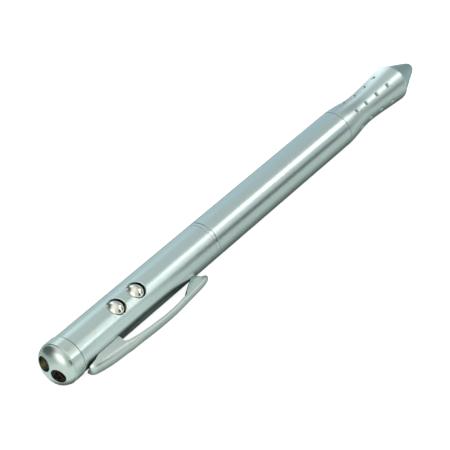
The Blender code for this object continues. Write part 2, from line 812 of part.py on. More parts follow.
def make_grip():
    """Waisted and flared, with rows of drilled dimples; its spigot sits in the lower barrel."""
    fall = [grip_neck_at * i / grip_wall_rings for i in range(grip_wall_rings)]
    climb = [grip_neck_at + (grip_flare_at - grip_neck_at) * i / grip_wall_rings
             for i in range(grip_wall_rings + 1)]
    skin = [(grip_start + x, grip_radius_at(x)) for x in fall + climb]
    skin.append((grip_end - (grip_length - grip_flare_at) / 3,
                 (grip_flare_radius + 2 * grip_edge_radius) / 3 + lip_round))
    skin.append((grip_end, grip_edge_radius))
    spigot_start = lower_end - grip_spigot
    counterbore = grip_end - nose_spigot - 2 * slip
    outer = [(spigot_start, grip_spigot_radius), (grip_start, grip_spigot_radius)] + skin
    inner = [(spigot_start, grip_bore), (counterbore, grip_bore),
             (counterbore, nose_spigot_radius + slip), (grip_end, nose_spigot_radius + slip)]
    grip = turned("grip_section", outer, lower_half, satin_metal, inner=inner, steps=grip_steps)
    for row in range(dimple_rows):
        turn = dimple_turn + 2 * math.pi * row / dimple_rows
        for place in range(dimples_in_row):
            x = dimple_first + place * dimple_pitch
            radius = grip_radius_at(x)
            centre_radius = radius + dimple_radius - dimple_depth
            centre = (grip_start + x, -centre_radius * math.sin(turn),
                      centre_radius * math.cos(turn))
            cut(grip, ball("dimple", dimple_radius, centre, lower_half))


def make_nose():
    cone_end = nose_end - nose_round
    face = (nose_end, nose_face_radius)
    middle = (nose_end - nose_round / 4, (nose_face_radius * 2 + nose_shoulder_radius) / 3)
    spigot_start = nose_start - nose_spigot
    taper_start = nose_end - nose_hole_length - nose_taper
    outer = [(spigot_start, nose_spigot_radius), (nose_start, nose_spigot_radius),
             (nose_start, nose_base_radius), (cone_end, nose_shoulder_radius), middle, face]
    inner = [(spigot_start, nose_bore), (taper_start, nose_bore),
             (nose_end - nose_hole_length, nose_hole), (nose_end, nose_hole)]
    turned("nose_cone", outer, lower_half, grey_metal, inner=inner, steps=grip_steps)


def make_refill():
    """The refill's plug holds the tube, and a pin across it rides in both slotted tubes."""
    plug_start = pin_rest - plug_behind_pin
    plug_end = pin_rest + plug_ahead_of_pin
    socket_radius = refill_radius + slip
    socket_floor = plug_end - socket_depth
    plug = turned("refill_carrier",
                  [(plug_start, 0), (plug_start, carrier_plug_radius),
                   (plug_end, carrier_plug_radius), (plug_end, socket_radius),
                   (socket_floor, socket_radius), (socket_floor, 0)],
                  refill, white_plastic, steps=small_steps)
    cut(plug, rod("pin_hole", pin_radius + slip, (pin_rest, 0, -pin_half_length),
                  (pin_rest, 0, pin_half_length), refill, steps=pin_steps))
    rod("drive_pin", pin_radius, (pin_rest, 0, -pin_half_length),
        (pin_rest, 0, pin_half_length), refill, steel, steps=pin_steps)
    tube_end = refill_front - slip
    turned("refill_tube", [(refill_rear, refill_radius), (tube_end, refill_radius)],
           refill, brass, inner=[(refill_rear, refill_bore), (tube_end, refill_bore)],
           steps=pin_steps)
    outer = [(refill_front - nib_tail, 0), (refill_front - nib_tail, nib_tail_radius),
             (refill_front, nib_tail_radius), (refill_front, nib_radius),
             (nib_tip - nib_shoulder, nib_radius), (nib_tip - nib_step, nib_step_radius),
             (nib_tip - ball_radius, ball_radius), (nib_tip, ball_radius / 2), (nib_tip, 0)]
    turned("refill_tip", outer, refill, steel, steps=pin_steps)


clear_scene()
parts = new_collection("laser_pointer_pen")
tools = new_collection("cutters")

satin_metal = finish("satin_metal", (0.60, 0.64, 0.64), 0.32, 1.0)
satin_head = finish("satin_head", (0.62, 0.66, 0.65), 0.30, 1.0)
satin_clip = finish("satin_clip", (0.58, 0.62, 0.59), 0.42, 1.0)
bright_metal = finish("bright_metal", (0.68, 0.71, 0.71), 0.22, 1.0)
grey_metal = finish("grey_metal", (0.40, 0.47, 0.47), 0.45, 0.7)
chrome = finish("chrome", (0.80, 0.80, 0.78), 0.06, 1.0)
brass = finish("brass", (0.72, 0.55, 0.28), 0.35, 1.0)
nickel = finish("nickel", (0.66, 0.65, 0.61), 0.30, 1.0)
steel = finish("steel", (0.55, 0.56, 0.57), 0.30, 1.0)
black_plastic = finish("black_plastic", (0.03, 0.03, 0.03), 0.50, 0.0)
white_plastic = finish("white_plastic", (0.80, 0.80, 0.77), 0.45, 0.0)
red_plastic = finish("red_plastic", (0.50, 0.06, 0.04), 0.45, 0.0)
board_green = finish("board_green", (0.05, 0.22, 0.09), 0.40, 0.0)
clear_resin = finish("clear_resin", (0.62, 0.56, 0.36), 0.12, 0.0)
lens_glass = finish("lens_glass", (0.28, 0.03, 0.03), 0.05, 0.0)

upper_half = joint_axis("upper_half_axis", place=pen_place)
upper_half.rotation_euler = (roll, 0, 0)
lower_half = joint_axis("lower_half_twist_axis", upper_half)
refill = joint_axis("refill_slide_axis", lower_half)

make_head_cap()
make_emitter_holder()
make_lamp()
make_laser()
make_board()
make_board_carrier()
make_upper_barrel()
make_clip()
for kind, station in zip(("laser", "lamp"), button_stations()):
    press_axis = joint_axis(kind + "_press_axis", upper_half, (station, 0, 0))
    make_button(kind + "_button", press_axis)
    make_plunger(kind + "_plunger", press_axis)
    make_switch(kind + "_switch", station)
make_battery()
make_coupler()
make_cam_sleeve()
make_guide_tube()
make_lower_barrel()
make_grip()
make_nose()
make_refill()

bpy.context.view_layer.update()
press = upper_half.matrix_world.to_3x3() @ Vector((0, 0, -1))
print("pen axis through, in m:", [round(v, 6) for v in pen_place])
print("roll in degrees:", round(math.degrees(roll), 4))
print("press direction:", [round(v, 6) for v in press])
print("refill travel per radian of twist, in m:", round(travel / twist_turn, 8))
print("pen length in mm:", round((nose_end - head_tip) * 1000, 2))
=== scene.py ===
import math

import bmesh
import bpy
import numpy as np
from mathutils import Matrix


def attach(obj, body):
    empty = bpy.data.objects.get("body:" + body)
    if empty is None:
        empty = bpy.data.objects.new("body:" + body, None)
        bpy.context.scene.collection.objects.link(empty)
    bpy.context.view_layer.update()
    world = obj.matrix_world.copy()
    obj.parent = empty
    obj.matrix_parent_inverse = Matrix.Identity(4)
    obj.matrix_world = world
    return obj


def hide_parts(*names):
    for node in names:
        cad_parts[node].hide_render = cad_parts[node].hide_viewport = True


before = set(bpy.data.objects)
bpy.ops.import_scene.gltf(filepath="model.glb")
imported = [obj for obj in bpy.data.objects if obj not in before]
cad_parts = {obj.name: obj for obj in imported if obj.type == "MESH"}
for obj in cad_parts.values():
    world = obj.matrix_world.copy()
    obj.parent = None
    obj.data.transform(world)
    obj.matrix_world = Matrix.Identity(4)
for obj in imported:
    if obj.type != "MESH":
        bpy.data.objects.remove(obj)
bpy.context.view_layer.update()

print("frame loaded:", len(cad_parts), "nodes")

# The pen's own frame, in millimetres: x is 0 at the seam behind the head and grows towards the
# nose, z points the way the buttons face, and the clip is on the -y side.
pen = {"origin": (-67.51, 1.594, 5.2), "roll": 25.7132}


def penToWorld(points):
    # turned about x by the roll, moved to the pen's place, then millimetres to metres
    roll = math.radians(pen["roll"])
    x, y, z = np.moveaxis(np.asarray(points, float), -1, 0)
    turned = np.stack([x, y * math.cos(roll) - z * math.sin(roll),
                       y * math.sin(roll) + z * math.cos(roll)], axis=-1)
    return (turned + np.array(pen["origin"])) * 0.001


def gridSheet(points, wrapped=False, keep=None):
    # points is rows x columns x 3; quads join neighbours, and the last column meets the first if
    # wrapped
    rows, cols = points.shape[:2]
    i = np.arange(rows - 1)[:, None]
    j = np.arange(cols if wrapped else cols - 1)[None, :]
    k = (j + 1) % cols
    quads = np.stack([i * cols + j, i * cols + k, (i + 1) * cols + k, (i + 1) * cols + j], axis=-1)
    if keep is not None:
        quads = quads[keep]
    return points.reshape(-1, 3), quads.reshape(-1, 4)


def roundAxis(x, radius, angle):
    # a point at a radius and an angle about the pen's axis: (x, -r sin a, r cos a)
    x, radius, angle = np.broadcast_arrays(x, radius, angle)
    return np.stack([x, -radius * np.sin(angle), radius * np.cos(angle)], axis=-1)


def evenAngles(steps):
    # angles from -pi, evenly spaced all the way round
    return -math.pi + 2 * math.pi * np.arange(steps) / steps


def turnedSheet(profile, angles):
    # each (x, r) of the profile is carried round the pen's axis
    profile = np.asarray(profile, float)
    return gridSheet(roundAxis(profile[:, :1], profile[:, 1:], angles[None, :]), wrapped=True)


def buttonSheet(profile, station, angles):
    # each (z, r) of the profile is carried round an upright axis at the station
    profile = np.asarray(profile, float)
    z, radius = profile[:, :1], profile[:, 1:]
    ring = [station + radius * np.cos(angles), radius * np.sin(angles), z + 0 * angles]
    return gridSheet(np.stack(ring, axis=-1), wrapped=True)


# In millimetres: how near to a side's ends its own points come, and the shortest side that gets
# any; sideShare is how much of a side an arc may take.
lineRules = {"nearEnds": 0.05, "shortest": 0.02, "sideShare": 0.48}


def roundedLine(corners, rounds, spacing=1.0, arcSteps=5, closed=False):
    # a line through the corners, where each corner with a radius becomes an arc tangent to both
    # sides, and each straight side gets points near its ends and at the spacing
    corners = np.asarray(corners, float)
    count = len(corners)
    arcs = []
    for i, radius in enumerate(rounds):
        here, before, after = corners[i], corners[i - 1], corners[(i + 1) % count]
        if radius <= 0 or (not closed and i in (0, count - 1)):
            arcs.append(here[None, :])
            continue
        inward = (here - before) / np.linalg.norm(here - before)
        onward = (after - here) / np.linalg.norm(after - here)
        turn = math.atan2(inward[0] * onward[1] - inward[1] * onward[0], inward @ onward)
        most = lineRules["sideShare"]
        reach = min(radius * abs(math.tan(turn / 2)),
                    most * np.linalg.norm(here - before), most * np.linalg.norm(after - here))
        size = reach / abs(math.tan(turn / 2))
        side = np.array([-inward[1], inward[0]]) * math.copysign(1, turn)
        start = here - inward * reach
        centre = start + side * size
        swing = turn * np.arange(arcSteps + 1) / arcSteps
        arm = start - centre
        arcs.append(centre + np.stack([arm[0] * np.cos(swing) - arm[1] * np.sin(swing),
                                       arm[0] * np.sin(swing) + arm[1] * np.cos(swing)], axis=-1))
    line = []
    for i, arc in enumerate(arcs):
        line.append(arc)
        if i == count - 1 and not closed:
            break
        start, end = arc[-1], arcs[(i + 1) % count][0]
        length = np.linalg.norm(end - start)
        if length < lineRules["shortest"]:
            continue
        near = min(lineRules["nearEnds"], length / 4) / length
        pieces = max(int(math.ceil(length / spacing)), 1)
        shares = np.unique(np.r_[near, np.arange(1, pieces) / pieces, 1 - near])
        line.append(start + (end - start) * shares[:, None])
    points = np.concatenate(line)
    if closed:
        points = np.concatenate([points, points[:1]])
    return points


def smoothThrough(table, x):
    # a cubic Hermite curve through the table's (x, y), each slope taken from the neighbours
    table = np.asarray(table, float)
    xs, ys = table[:, 0], table[:, 1]
    slopes = np.gradient(ys, xs)
    i = np.clip(np.searchsorted(xs, x, side="right") - 1, 0, len(xs) - 2)
    span = xs[i + 1] - xs[i]
    t = np.clip((x - xs[i]) / span, 0, 1)
    return (ys[i] * (1 + 2 * t) * (1 - t) ** 2 + slopes[i] * span * t * (1 - t) ** 2
            + ys[i + 1] * t * t * (3 - 2 * t) - slopes[i + 1] * span * t * t * (1 - t))


def windowLoop(xs, turns):
    # once round a window of the grid, as (x, turn) pairs: its two ends and its two sides
    top = np.stack([0 * turns + xs[0], turns], axis=-1)
    right = np.stack([xs, 0 * xs + turns[-1]], axis=-1)
    bottom = np.stack([0 * turns + xs[-1], turns[::-1]], axis=-1)
    left = np.stack([xs[::-1], 0 * xs + turns[0]], axis=-1)
    return np.concatenate([top[:-1], right[:-1], bottom[:-1], left[:-1]])


def raysTo(edge, centre):
    # for each point of the edge, how far it lies from the centre, and which way
    outward = edge - centre
    reach = np.linalg.norm(outward, axis=1)
    return reach, outward / reach[:, None]


def rimSteps(size, bevel):
    # (radius, depth) over a hole's rim, a quarter circle from just past the flat to the wall
    return [(size + bevel * (1 - math.sin(turn)), bevel * (1 - math.cos(turn)))
            for turn in np.linspace(0, math.pi / 2, 5)[1:]]


mending = {"merge": 0.0000015, "dissolve": 0.0000002}   # metres


def finishedPiece(name, sheets, finish, body, node=None, sharpest=38):
    # all sheets in one mesh: doubles merged, faces turned outwards, edges sharper than the angle
    # kept sharp
    corners, faces, start = [], [], 0
    for points, quads in sheets:
        corners.append(points)
        faces.append(quads + start)
        start += len(points)
    mesh = bpy.data.meshes.new(name)
    mesh.from_pydata(penToWorld(np.concatenate(corners)), [], np.concatenate(faces).tolist())
    shape = bmesh.new()
    shape.from_mesh(mesh)
    bmesh.ops.remove_doubles(shape, verts=shape.verts, dist=mending["merge"])
    bmesh.ops.dissolve_degenerate(shape, edges=shape.edges, dist=mending["dissolve"])
    bmesh.ops.recalc_face_normals(shape, faces=shape.faces)
    openEdges = sum(1 for edge in shape.edges if not edge.is_manifold)
    shape.to_mesh(mesh)
    shape.free()
    mesh.shade_smooth()
    mesh.set_sharp_from_angle(angle=math.radians(sharpest))
    mesh.materials.append(finishes[finish])
    piece = bpy.data.objects.new(name, mesh)
    bpy.context.scene.collection.objects.link(piece)
    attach(piece, body)
    if node:
        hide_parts(node)
    print(name, len(mesh.polygons), "faces", openEdges, "open edges")


def feed(tree, socket, value):
    # a socket gets a link or a value of its own
    if isinstance(value, bpy.types.NodeSocket):
        tree.links.new(value, socket)
    else:
        socket.default_value = value


def newNode(tree, kind, inputs=(), **settings):
    # a shader node with its settings, and its inputs fed by name or in order
    node = tree.nodes.new("ShaderNode" + kind)
    for name, value in settings.items():
        setattr(node, name, value)
    for key, value in (inputs.items() if isinstance(inputs, dict) else enumerate(inputs)):
        feed(tree, node.inputs[key], value)
    return node


def newFinish(name, colour, roughness=0.9, metallic=0.0):
    # a material, its node tree and its own shader
    material = bpy.data.materials.new(name)
    material.use_nodes = True
    shader = material.node_tree.nodes["Principled BSDF"]
    shader.inputs["Base Color"].default_value = (*colour, 1)
    shader.inputs["Roughness"].default_value = roughness
    shader.inputs["Metallic"].default_value = metallic
    return material, material.node_tree, shader


def noiseOn(tree, scale, detail=3.0, stretch=(1, 1, 1), distortion=0.0):
    # noise read in the object's own metres, stretched along the pen's axes
    mapping = newNode(tree, "Mapping", {"Vector": newNode(tree, "TexCoord").outputs["Object"],
                                        "Rotation": (-math.radians(pen["roll"]), 0, 0),
                                        "Scale": stretch})
    noise = newNode(tree, "TexNoise", {"Vector": mapping.outputs["Vector"], "Scale": scale,
                                       "Detail": detail, "Distortion": distortion})
    return noise.outputs["Fac"]


def rangeOf(tree, value, low, high, start=0.3, end=0.7, curve="LINEAR"):
    # low at the start and before it, high at the end and beyond it
    step = newNode(tree, "MapRange", {"Value": value, "From Min": start, "From Max": end,
                                      "To Min": low, "To Max": high}, interpolation_type=curve)
    return step.outputs["Result"]


def mathOf(tree, operation, *values):
    # one operation on sockets and numbers
    return newNode(tree, "Math", values, operation=operation).outputs["Value"]


def timesOf(tree, first, second):
    return mathOf(tree, "MULTIPLY", first, second)


def blendOf(tree, factor, first, second):
    # the first colour at 0, the second at 1
    first, second = [(*c, 1) if isinstance(c, tuple) else c for c in (first, second)]
    mix = newNode(tree, "Mix", {"Factor": factor, "A": first, "B": second}, data_type="RGBA")
    return mix.outputs["Result"]


def bumpOf(tree, shader, value, strength, distance):
    # raises the surface by the value, over the distance in metres
    bump = newNode(tree, "Bump", {"Height": value, "Strength": strength, "Distance": distance})
    feed(tree, shader.inputs["Normal"], bump.outputs["Normal"])


def satinFinish(name, colour, roughness, roughChange=0.012, grain=9000, smudge=300,
                tintChange=1.02, bump=0.05, bumpDepth=0.00001, stretch=(1, 1, 1)):
    # blasted and plated metal: a fine grain in the bump, and slow changes of tint and gloss
    material, tree, shader = newFinish(name, colour, roughness, metallic=1.0)
    slow = noiseOn(tree, smudge, detail=4.0, distortion=0.6)
    paler = tuple(min(c * tintChange, 1) for c in colour)
    feed(tree, shader.inputs["Base Color"], blendOf(tree, rangeOf(tree, slow, 0, 1), colour, paler))
    feed(tree, shader.inputs["Roughness"],
         rangeOf(tree, slow, roughness + roughChange, roughness - roughChange))
    fine = noiseOn(tree, grain, detail=2.0, stretch=stretch)
    bumpOf(tree, shader, fine, bump, bumpDepth)
    return material


def plasticFinish(name, colour, roughness, roughChange=0.06, grain=4000, tintChange=0.8,
                  bump=0.15, bumpDepth=0.00002):
    # moulded plastic: one fine speckle in its tint, its gloss and its bump
    material, tree, shader = newFinish(name, colour, roughness)
    speckle = noiseOn(tree, grain, detail=2.0)
    darker = tuple(c * tintChange for c in colour)
    feed(tree, shader.inputs["Base Color"],
         blendOf(tree, rangeOf(tree, speckle, 0, 1), colour, darker))
    feed(tree, shader.inputs["Roughness"],
         rangeOf(tree, speckle, roughness - roughChange, roughness + roughChange))
    bumpOf(tree, shader, speckle, bump, bumpDepth)
    return material


# Scales of grain and smudge are in repeats to the metre and depths in metres; what a metal doesn't
# name is the same for all.
satinSettings = {
    "barrelMetal": {"colour": (0.58, 0.665, 0.66), "roughness": 0.27, "smudge": 60, "bump": 0.04},
    "headMetal": {"colour": (0.595, 0.67, 0.64), "roughness": 0.25, "smudge": 80,
                  "bumpDepth": 0.000012},
    "gripMetal": {"colour": (0.58, 0.665, 0.66), "roughness": 0.33, "smudge": 70,
                  "bumpDepth": 0.000012},
    "clipMetal": {"colour": (0.60, 0.665, 0.645), "roughness": 0.36, "roughChange": 0.04,
                  "grain": 8000, "smudge": 160, "tintChange": 1.06, "bump": 0.14,
                  "bumpDepth": 0.000014},
    "ringMetal": {"colour": (0.62, 0.69, 0.69), "roughness": 0.20, "roughChange": 0.02,
                  "smudge": 200, "tintChange": 1.04},
    "noseMetal": {"colour": (0.36, 0.47, 0.48), "roughness": 0.42, "roughChange": 0.04,
                  "grain": 8000, "smudge": 220, "tintChange": 1.08, "bump": 0.16,
                  "bumpDepth": 0.000014},
    "buttonMetal": {"colour": (0.88, 0.865, 0.80), "roughness": 0.09, "roughChange": 0.02,
                    "grain": 5000, "tintChange": 1.04, "bump": 0.02},
    "brassMetal": {"colour": (0.72, 0.52, 0.25), "roughness": 0.33, "roughChange": 0.06,
                   "grain": 6000, "tintChange": 1.12, "bump": 0.12, "bumpDepth": 0.00002,
                   "stretch": (4, 1, 1)},
    "nickelMetal": {"colour": (0.62, 0.60, 0.55), "roughness": 0.28, "roughChange": 0.05,
                    "grain": 6000, "smudge": 260, "tintChange": 1.08, "bump": 0.10,
                    "bumpDepth": 0.00002, "stretch": (4, 1, 1)},
    "steelMetal": {"colour": (0.52, 0.53, 0.54), "roughness": 0.27, "roughChange": 0.05,
                   "grain": 6000, "smudge": 260, "tintChange": 1.08, "bump": 0.10,
                   "bumpDepth": 0.00002, "stretch": (4, 1, 1)},
    "blackenedBrass": {"colour": (0.06, 0.022, 0.018), "roughness": 0.32, "roughChange": 0.05,
                       "grain": 5000, "tintChange": 1.3, "bump": 0.1},
}
finishes = {name: satinFinish(name, **values) for name, values in satinSettings.items()}

plasticSettings = {
    "blackPlastic": {"colour": (0.022, 0.020, 0.020), "roughness": 0.48},
    "whitePlastic": {"colour": (0.78, 0.78, 0.74), "roughness": 0.42},
    "redPlastic": {"colour": (0.46, 0.05, 0.035), "roughness": 0.42},
    "lampPhosphor": {"colour": (0.42, 0.37, 0.21), "roughness": 0.5},
}
for name, values in plasticSettings.items():
    finishes[name] = plasticFinish(name, **values)


def boardFinish(name, lacquer, overCopper, weave, tracks, trackEdge, roughness, bump, bumpDepth):
    # green lacquer over a fine woven board, with a hint of the copper below
    material, tree, shader = newFinish(name, lacquer)
    woven = noiseOn(tree, weave, detail=2.0, stretch=(1, 6, 1))
    copper = rangeOf(tree, noiseOn(tree, tracks, detail=0.0, stretch=(1, 2.5, 1)), 0, 1, *trackEdge)
    feed(tree, shader.inputs["Base Color"], blendOf(tree, copper, lacquer, overCopper))
    feed(tree, shader.inputs["Roughness"], rangeOf(tree, woven, *roughness))
    bumpOf(tree, shader, woven, bump, bumpDepth)
    return material


def clearFinish(name, colour, roughness, ior, roughChange=0.04, flow=900):
    # clear resin or glass, with faint flow marks in its gloss
    material, tree, shader = newFinish(name, colour, roughness)
    shader.inputs["Transmission Weight"].default_value = 1.0
    shader.inputs["IOR"].default_value = ior
    feed(tree, shader.inputs["Roughness"],
         rangeOf(tree, noiseOn(tree, flow, detail=2.0), roughness, roughness + roughChange))
    return material


clearSettings = {
    "lampResin": {"colour": (0.80, 0.66, 0.44), "roughness": 0.04, "ior": 1.50},
    "lensGlass": {"colour": (0.75, 0.10, 0.07), "roughness": 0.02, "ior": 1.52},
}
for name, values in clearSettings.items():
    finishes[name] = clearFinish(name, **values)

boardSettings = {"lacquer": (0.03, 0.19, 0.07), "overCopper": (0.06, 0.29, 0.11), "weave": 3500,
                 "tracks": 420, "trackEdge": (0.52, 0.56), "roughness": (0.24, 0.38), "bump": 0.12,
                 "bumpDepth": 0.00002}
finishes["boardLacquer"] = boardFinish("boardLacquer", **boardSettings)
print("finishes ready")


headCap = {"collarLength": 3.0, "collarRadius": 5.2, "domeRadius": 5.02, "domeHeight": 2.7,
           "domePower": 2.25, "lipRound": 0.10, "rimRound": 0.04, "boreRound": 0.05,
           "windowRadius": 1.80, "windowOffset": 2.1, "windowRound": 0.08, "bore": 4.4,
           "cavity": 3.4, "patchRadius": 4.3, "around": 160, "straightSteps": 42}


def domeX(radius):
    # superellipse: (ahead / height)^p + (radius / dome radius)^p = 1
    share = np.clip(radius / headCap["domeRadius"], 0, 1) ** headCap["domePower"]
    ahead = headCap["domeHeight"] * np.clip(1 - share, 0, 1) ** (1 / headCap["domePower"])
    return -headCap["collarLength"] - ahead


def windowHalf(side):
    # one half of the dome: lines run from the half disc's edge to the window's rim, down the
    # window's wall and back out over the flat inner face
    steps = headCap["around"] // 2
    rim = np.linspace(-math.pi / 2, math.pi / 2, steps + 1)
    patch = headCap["patchRadius"]
    arc = np.stack([patch * np.cos(rim), patch * np.sin(rim)], axis=-1)
    straight = np.linspace(patch, -patch, headCap["straightSteps"])[1:-1]
    edge = np.concatenate([arc, np.stack([0 * straight, straight], axis=-1)])
    centre = np.array([headCap["windowOffset"], 0.0])
    reach, way = raysTo(edge, centre)
    size, bevel = headCap["windowRadius"], headCap["windowRound"]
    rings, depths = [], []
    for share in (0, 0.12, 0.3, 0.5, 0.7, 0.85, 0.95, 1):
        rings.append(reach + (size + bevel - reach) * share)
        depths.append(0 * reach)
    for ring, depth in rimSteps(size, bevel):
        rings.append(0 * reach + ring)
        depths.append(0 * reach + depth)
    spans = [centre + way * ring[:, None] for ring in rings]
    rows = [np.stack([domeX(np.linalg.norm(span, axis=1)) + depth, span[:, 0], span[:, 1]], axis=-1)
            for span, depth in zip(spans, depths)]
    wallEnd, wallTop = spans[-1], rows[-1]
    for share in (0.08, 0.35, 0.7, 0.97, 1):
        row = wallTop.copy()
        row[:, 0] += (-headCap["cavity"] - row[:, 0]) * share
        rows.append(row)
    for share in (0.05, 0.5, 1):
        flat = wallEnd + (edge - wallEnd) * share
        rows.append(np.stack([0 * reach - headCap["cavity"], flat[:, 0], flat[:, 1]], axis=-1))
    points = np.stack(rows)
    points[..., 1] *= side
    return gridSheet(points, wrapped=True)


def makeHeadCap():
    # the outer dome beyond the windows, the lip, the collar and the bore as one turned line, and the
    # two halves that hold the windows
    s = headCap
    turns = np.linspace(0, 1, 15)
    start = math.asin((s["patchRadius"] / s["domeRadius"]) ** (s["domePower"] / 2))
    bend = start + (math.pi / 2 - start) * turns
    domeR = s["domeRadius"] * np.sin(bend) ** (2 / s["domePower"])
    dome = np.stack([domeX(domeR), domeR], axis=-1)
    dome[-1, 0] = -s["collarLength"]
    face = -s["collarLength"]
    rest = roundedLine([(face, s["domeRadius"]), (face, s["collarRadius"]),
                        (0, s["collarRadius"]), (0, s["bore"]),
                        (-s["cavity"], s["bore"]), (-s["cavity"], s["patchRadius"])],
                       [0, s["lipRound"], s["rimRound"], s["boreRound"], 0, 0], spacing=0.5)
    line = np.concatenate([dome, rest[1:]])
    angles = evenAngles(s["around"])
    sheets = [turnedSheet(line, angles), windowHalf(1), windowHalf(-1)]
    finishedPiece("headCap", sheets, "headMetal", "upper_half", "head_cap")


makeHeadCap()


# Behind one window is the lamp, behind the other the laser; each line is (x, r) about its own axis.
lamp = {"offset": 2.1, "radius": 1.5, "tip": -4.8, "flangeRadius": 1.75, "flangeFront": -0.5,
        "back": 0.5, "rounds": [0, 0.05, 0.08, 0.08, 0], "around": 48,
        "cup": [(-2.2, 0), (-2.2, 0.42), (-2.75, 0.78), (-2.75, 0.95), (-1.2, 0.95), (-1.2, 0)],
        "cupRounds": [0, 0.05, 0.03, 0.03, 0.05, 0], "cupAround": 36, "chipAround": 24,
        "chip": [(-2.42, 0), (-2.42, 0.33), (-2.24, 0.36), (-2.24, 0)],
        "chipRounds": [0, 0.06, 0, 0],
        "lead": [(0.4, 1.0), (1.2, 1.0), (2.1, 0.85), (3.0, 0.7), (6.4, 0.7)], "leadRadius": 0.2}
laser = {"offset": -2.1, "radius": 1.75, "bore": 1.35, "front": -3.2, "back": 3.4, "aperture": 0.9,
         "apertureWall": 0.5, "rounds": [0.12, 0.10, 0.08, 0.05, 0, 0.03],
         "lensRadius": 1.25, "lensFront": -2.6, "lensBack": -1.25, "lensSwing": 0.42,
         "lensRound": 0.04, "around": 48, "lensAround": 40}


def sideTurned(line, steps, offset):
    # the line turned round an axis beside the pen's own
    points, quads = turnedSheet(line, evenAngles(steps))
    return [(points + np.array([0, offset, 0]), quads)]


def leadSheet(path, radius, steps=10):
    # a round wire: at each point of the path a ring square to it, and both ends closed
    path = np.asarray(path, float)
    along = np.gradient(path, axis=0)
    along /= np.linalg.norm(along, axis=1)[:, None]
    across = np.tile([0.0, 1.0, 0.0], (len(path), 1))
    other = np.cross(along, across)
    turn = 2 * math.pi * np.arange(steps) / steps
    rings = (path[:, None] + radius * (across[:, None] * np.cos(turn)[:, None]
                                       + other[:, None] * np.sin(turn)[:, None]))
    ends = [np.tile(path[0], (1, steps, 1)), rings, np.tile(path[-1], (1, steps, 1))]
    return gridSheet(np.concatenate(ends), wrapped=True)


def makeLamp():
    # a quarter circle for the resin's tip and a straight body with a flange; inside it a cup with
    # the yellow chip, and behind it two leads that run to the board
    s = lamp
    turn = np.linspace(0, math.pi / 2, 14)
    ahead, radius = s["tip"] + s["radius"] * (1 - np.cos(turn)), s["radius"] * np.sin(turn)
    dome = np.stack([ahead, radius], axis=-1)
    body = roundedLine([dome[-1], (s["flangeFront"], s["radius"]),
                        (s["flangeFront"], s["flangeRadius"]), (s["back"], s["flangeRadius"]),
                        (s["back"], 0)], s["rounds"], spacing=0.8)
    finishedPiece("lampLens", sideTurned(np.concatenate([dome, body[1:]]), s["around"], s["offset"]),
                  "lampResin", "upper_half", "led_lamp")
    cup = roundedLine(s["cup"], s["cupRounds"], spacing=0.5)
    finishedPiece("lampCup", sideTurned(cup, s["cupAround"], s["offset"]), "brassMetal",
                  "upper_half", None)
    chip = roundedLine(s["chip"], s["chipRounds"])
    finishedPiece("lampChip", sideTurned(chip, s["chipAround"], s["offset"]), "lampPhosphor",
                  "upper_half", None)
    leads = [leadSheet([(x, s["offset"], side * z) for x, z in s["lead"]], s["leadRadius"])
             for side in (1, -1)]
    finishedPiece("lampLeads", leads, "nickelMetal", "upper_half", None)


def makeLaser():
    # a tube whose front wall leaves a small opening, and a lens with a spherical front
    s = laser
    shelf = s["front"] + s["apertureWall"]
    tube = roundedLine([(s["front"], s["aperture"]), (s["front"], s["radius"]),
                        (s["back"], s["radius"]), (s["back"], s["bore"]),
                        (shelf, s["bore"]), (shelf, s["aperture"])],
                       s["rounds"], spacing=0.8, closed=True)
    finishedPiece("laserTube", sideTurned(tube, s["around"], s["offset"]), "blackenedBrass",
                  "upper_half", "laser_housing")
    swing = np.linspace(0, s["lensSwing"], 9)
    ball = s["lensRadius"] / math.sin(s["lensSwing"])
    crown = np.stack([s["lensFront"] + ball * (1 - np.cos(swing)), ball * np.sin(swing)], axis=-1)
    back = roundedLine([crown[-1], (s["lensBack"], s["lensRadius"]), (s["lensBack"], 0)],
                       [0, s["lensRound"], 0], spacing=0.5)
    lens = np.concatenate([crown, back[1:]])
    finishedPiece("laserLens", sideTurned(lens, s["lensAround"], s["offset"]), "lensGlass",
                  "upper_half", "laser_lens")


makeLamp()
makeLaser()


upperBarrel = {"start": 0.27, "end": 48.4, "radius": 5.0, "bore": 4.4, "chamfer": 0.05,
               "around": 160, "stations": (15.4, 22.45), "holeRadius": 2.22, "holeRound": 0.14,
               "windowHalf": 3.0, "windowSteps": 16, "windowRings": 31, "endRing": 0.25,
               "firstRings": (1.0, 12), "lastRings": (47.4, 22)}


def holePatch(station):
    # lines from the window in the outer skin to the hole's rim, through the wall, and out to the
    # same window in the inner skin; y and x are laid flat and z follows each skin's circle
    s = upperBarrel
    turns = 2 * math.pi / s["around"] * np.arange(-s["windowSteps"], s["windowSteps"] + 1)
    xs = station + np.linspace(-s["windowHalf"], s["windowHalf"], s["windowRings"])
    loop = windowLoop(xs, turns)
    rows = []

    def flatRow(radius, share, ring, drop):
        edge = np.stack([loop[:, 0], -radius * np.sin(loop[:, 1])], axis=-1)
        reach, way = raysTo(edge, (station, 0))
        size = reach + (ring - reach) * share
        spot = np.array([station, 0]) + way * size[:, None]
        z = np.sqrt(radius ** 2 - spot[:, 1] ** 2) - drop
        return np.stack([spot[:, 0], spot[:, 1], z], axis=-1)

    bevel, size = s["holeRound"], s["holeRadius"]
    for share in (0, 0.15, 0.4, 0.65, 0.85, 0.95, 1):
        rows.append(flatRow(s["radius"], share, size + bevel, 0))
    rows += [flatRow(s["radius"], 1, ring, depth) for ring, depth in rimSteps(size, bevel)]
    inner = [flatRow(s["bore"], share, size, 0) for share in (1, 0.9, 0.5, 0)]
    rim = rows[-1]
    for share in (0.1, 0.5, 0.9):
        rows.append(rim + (inner[0] - rim) * share)
    return gridSheet(np.stack(rows + inner), wrapped=True)


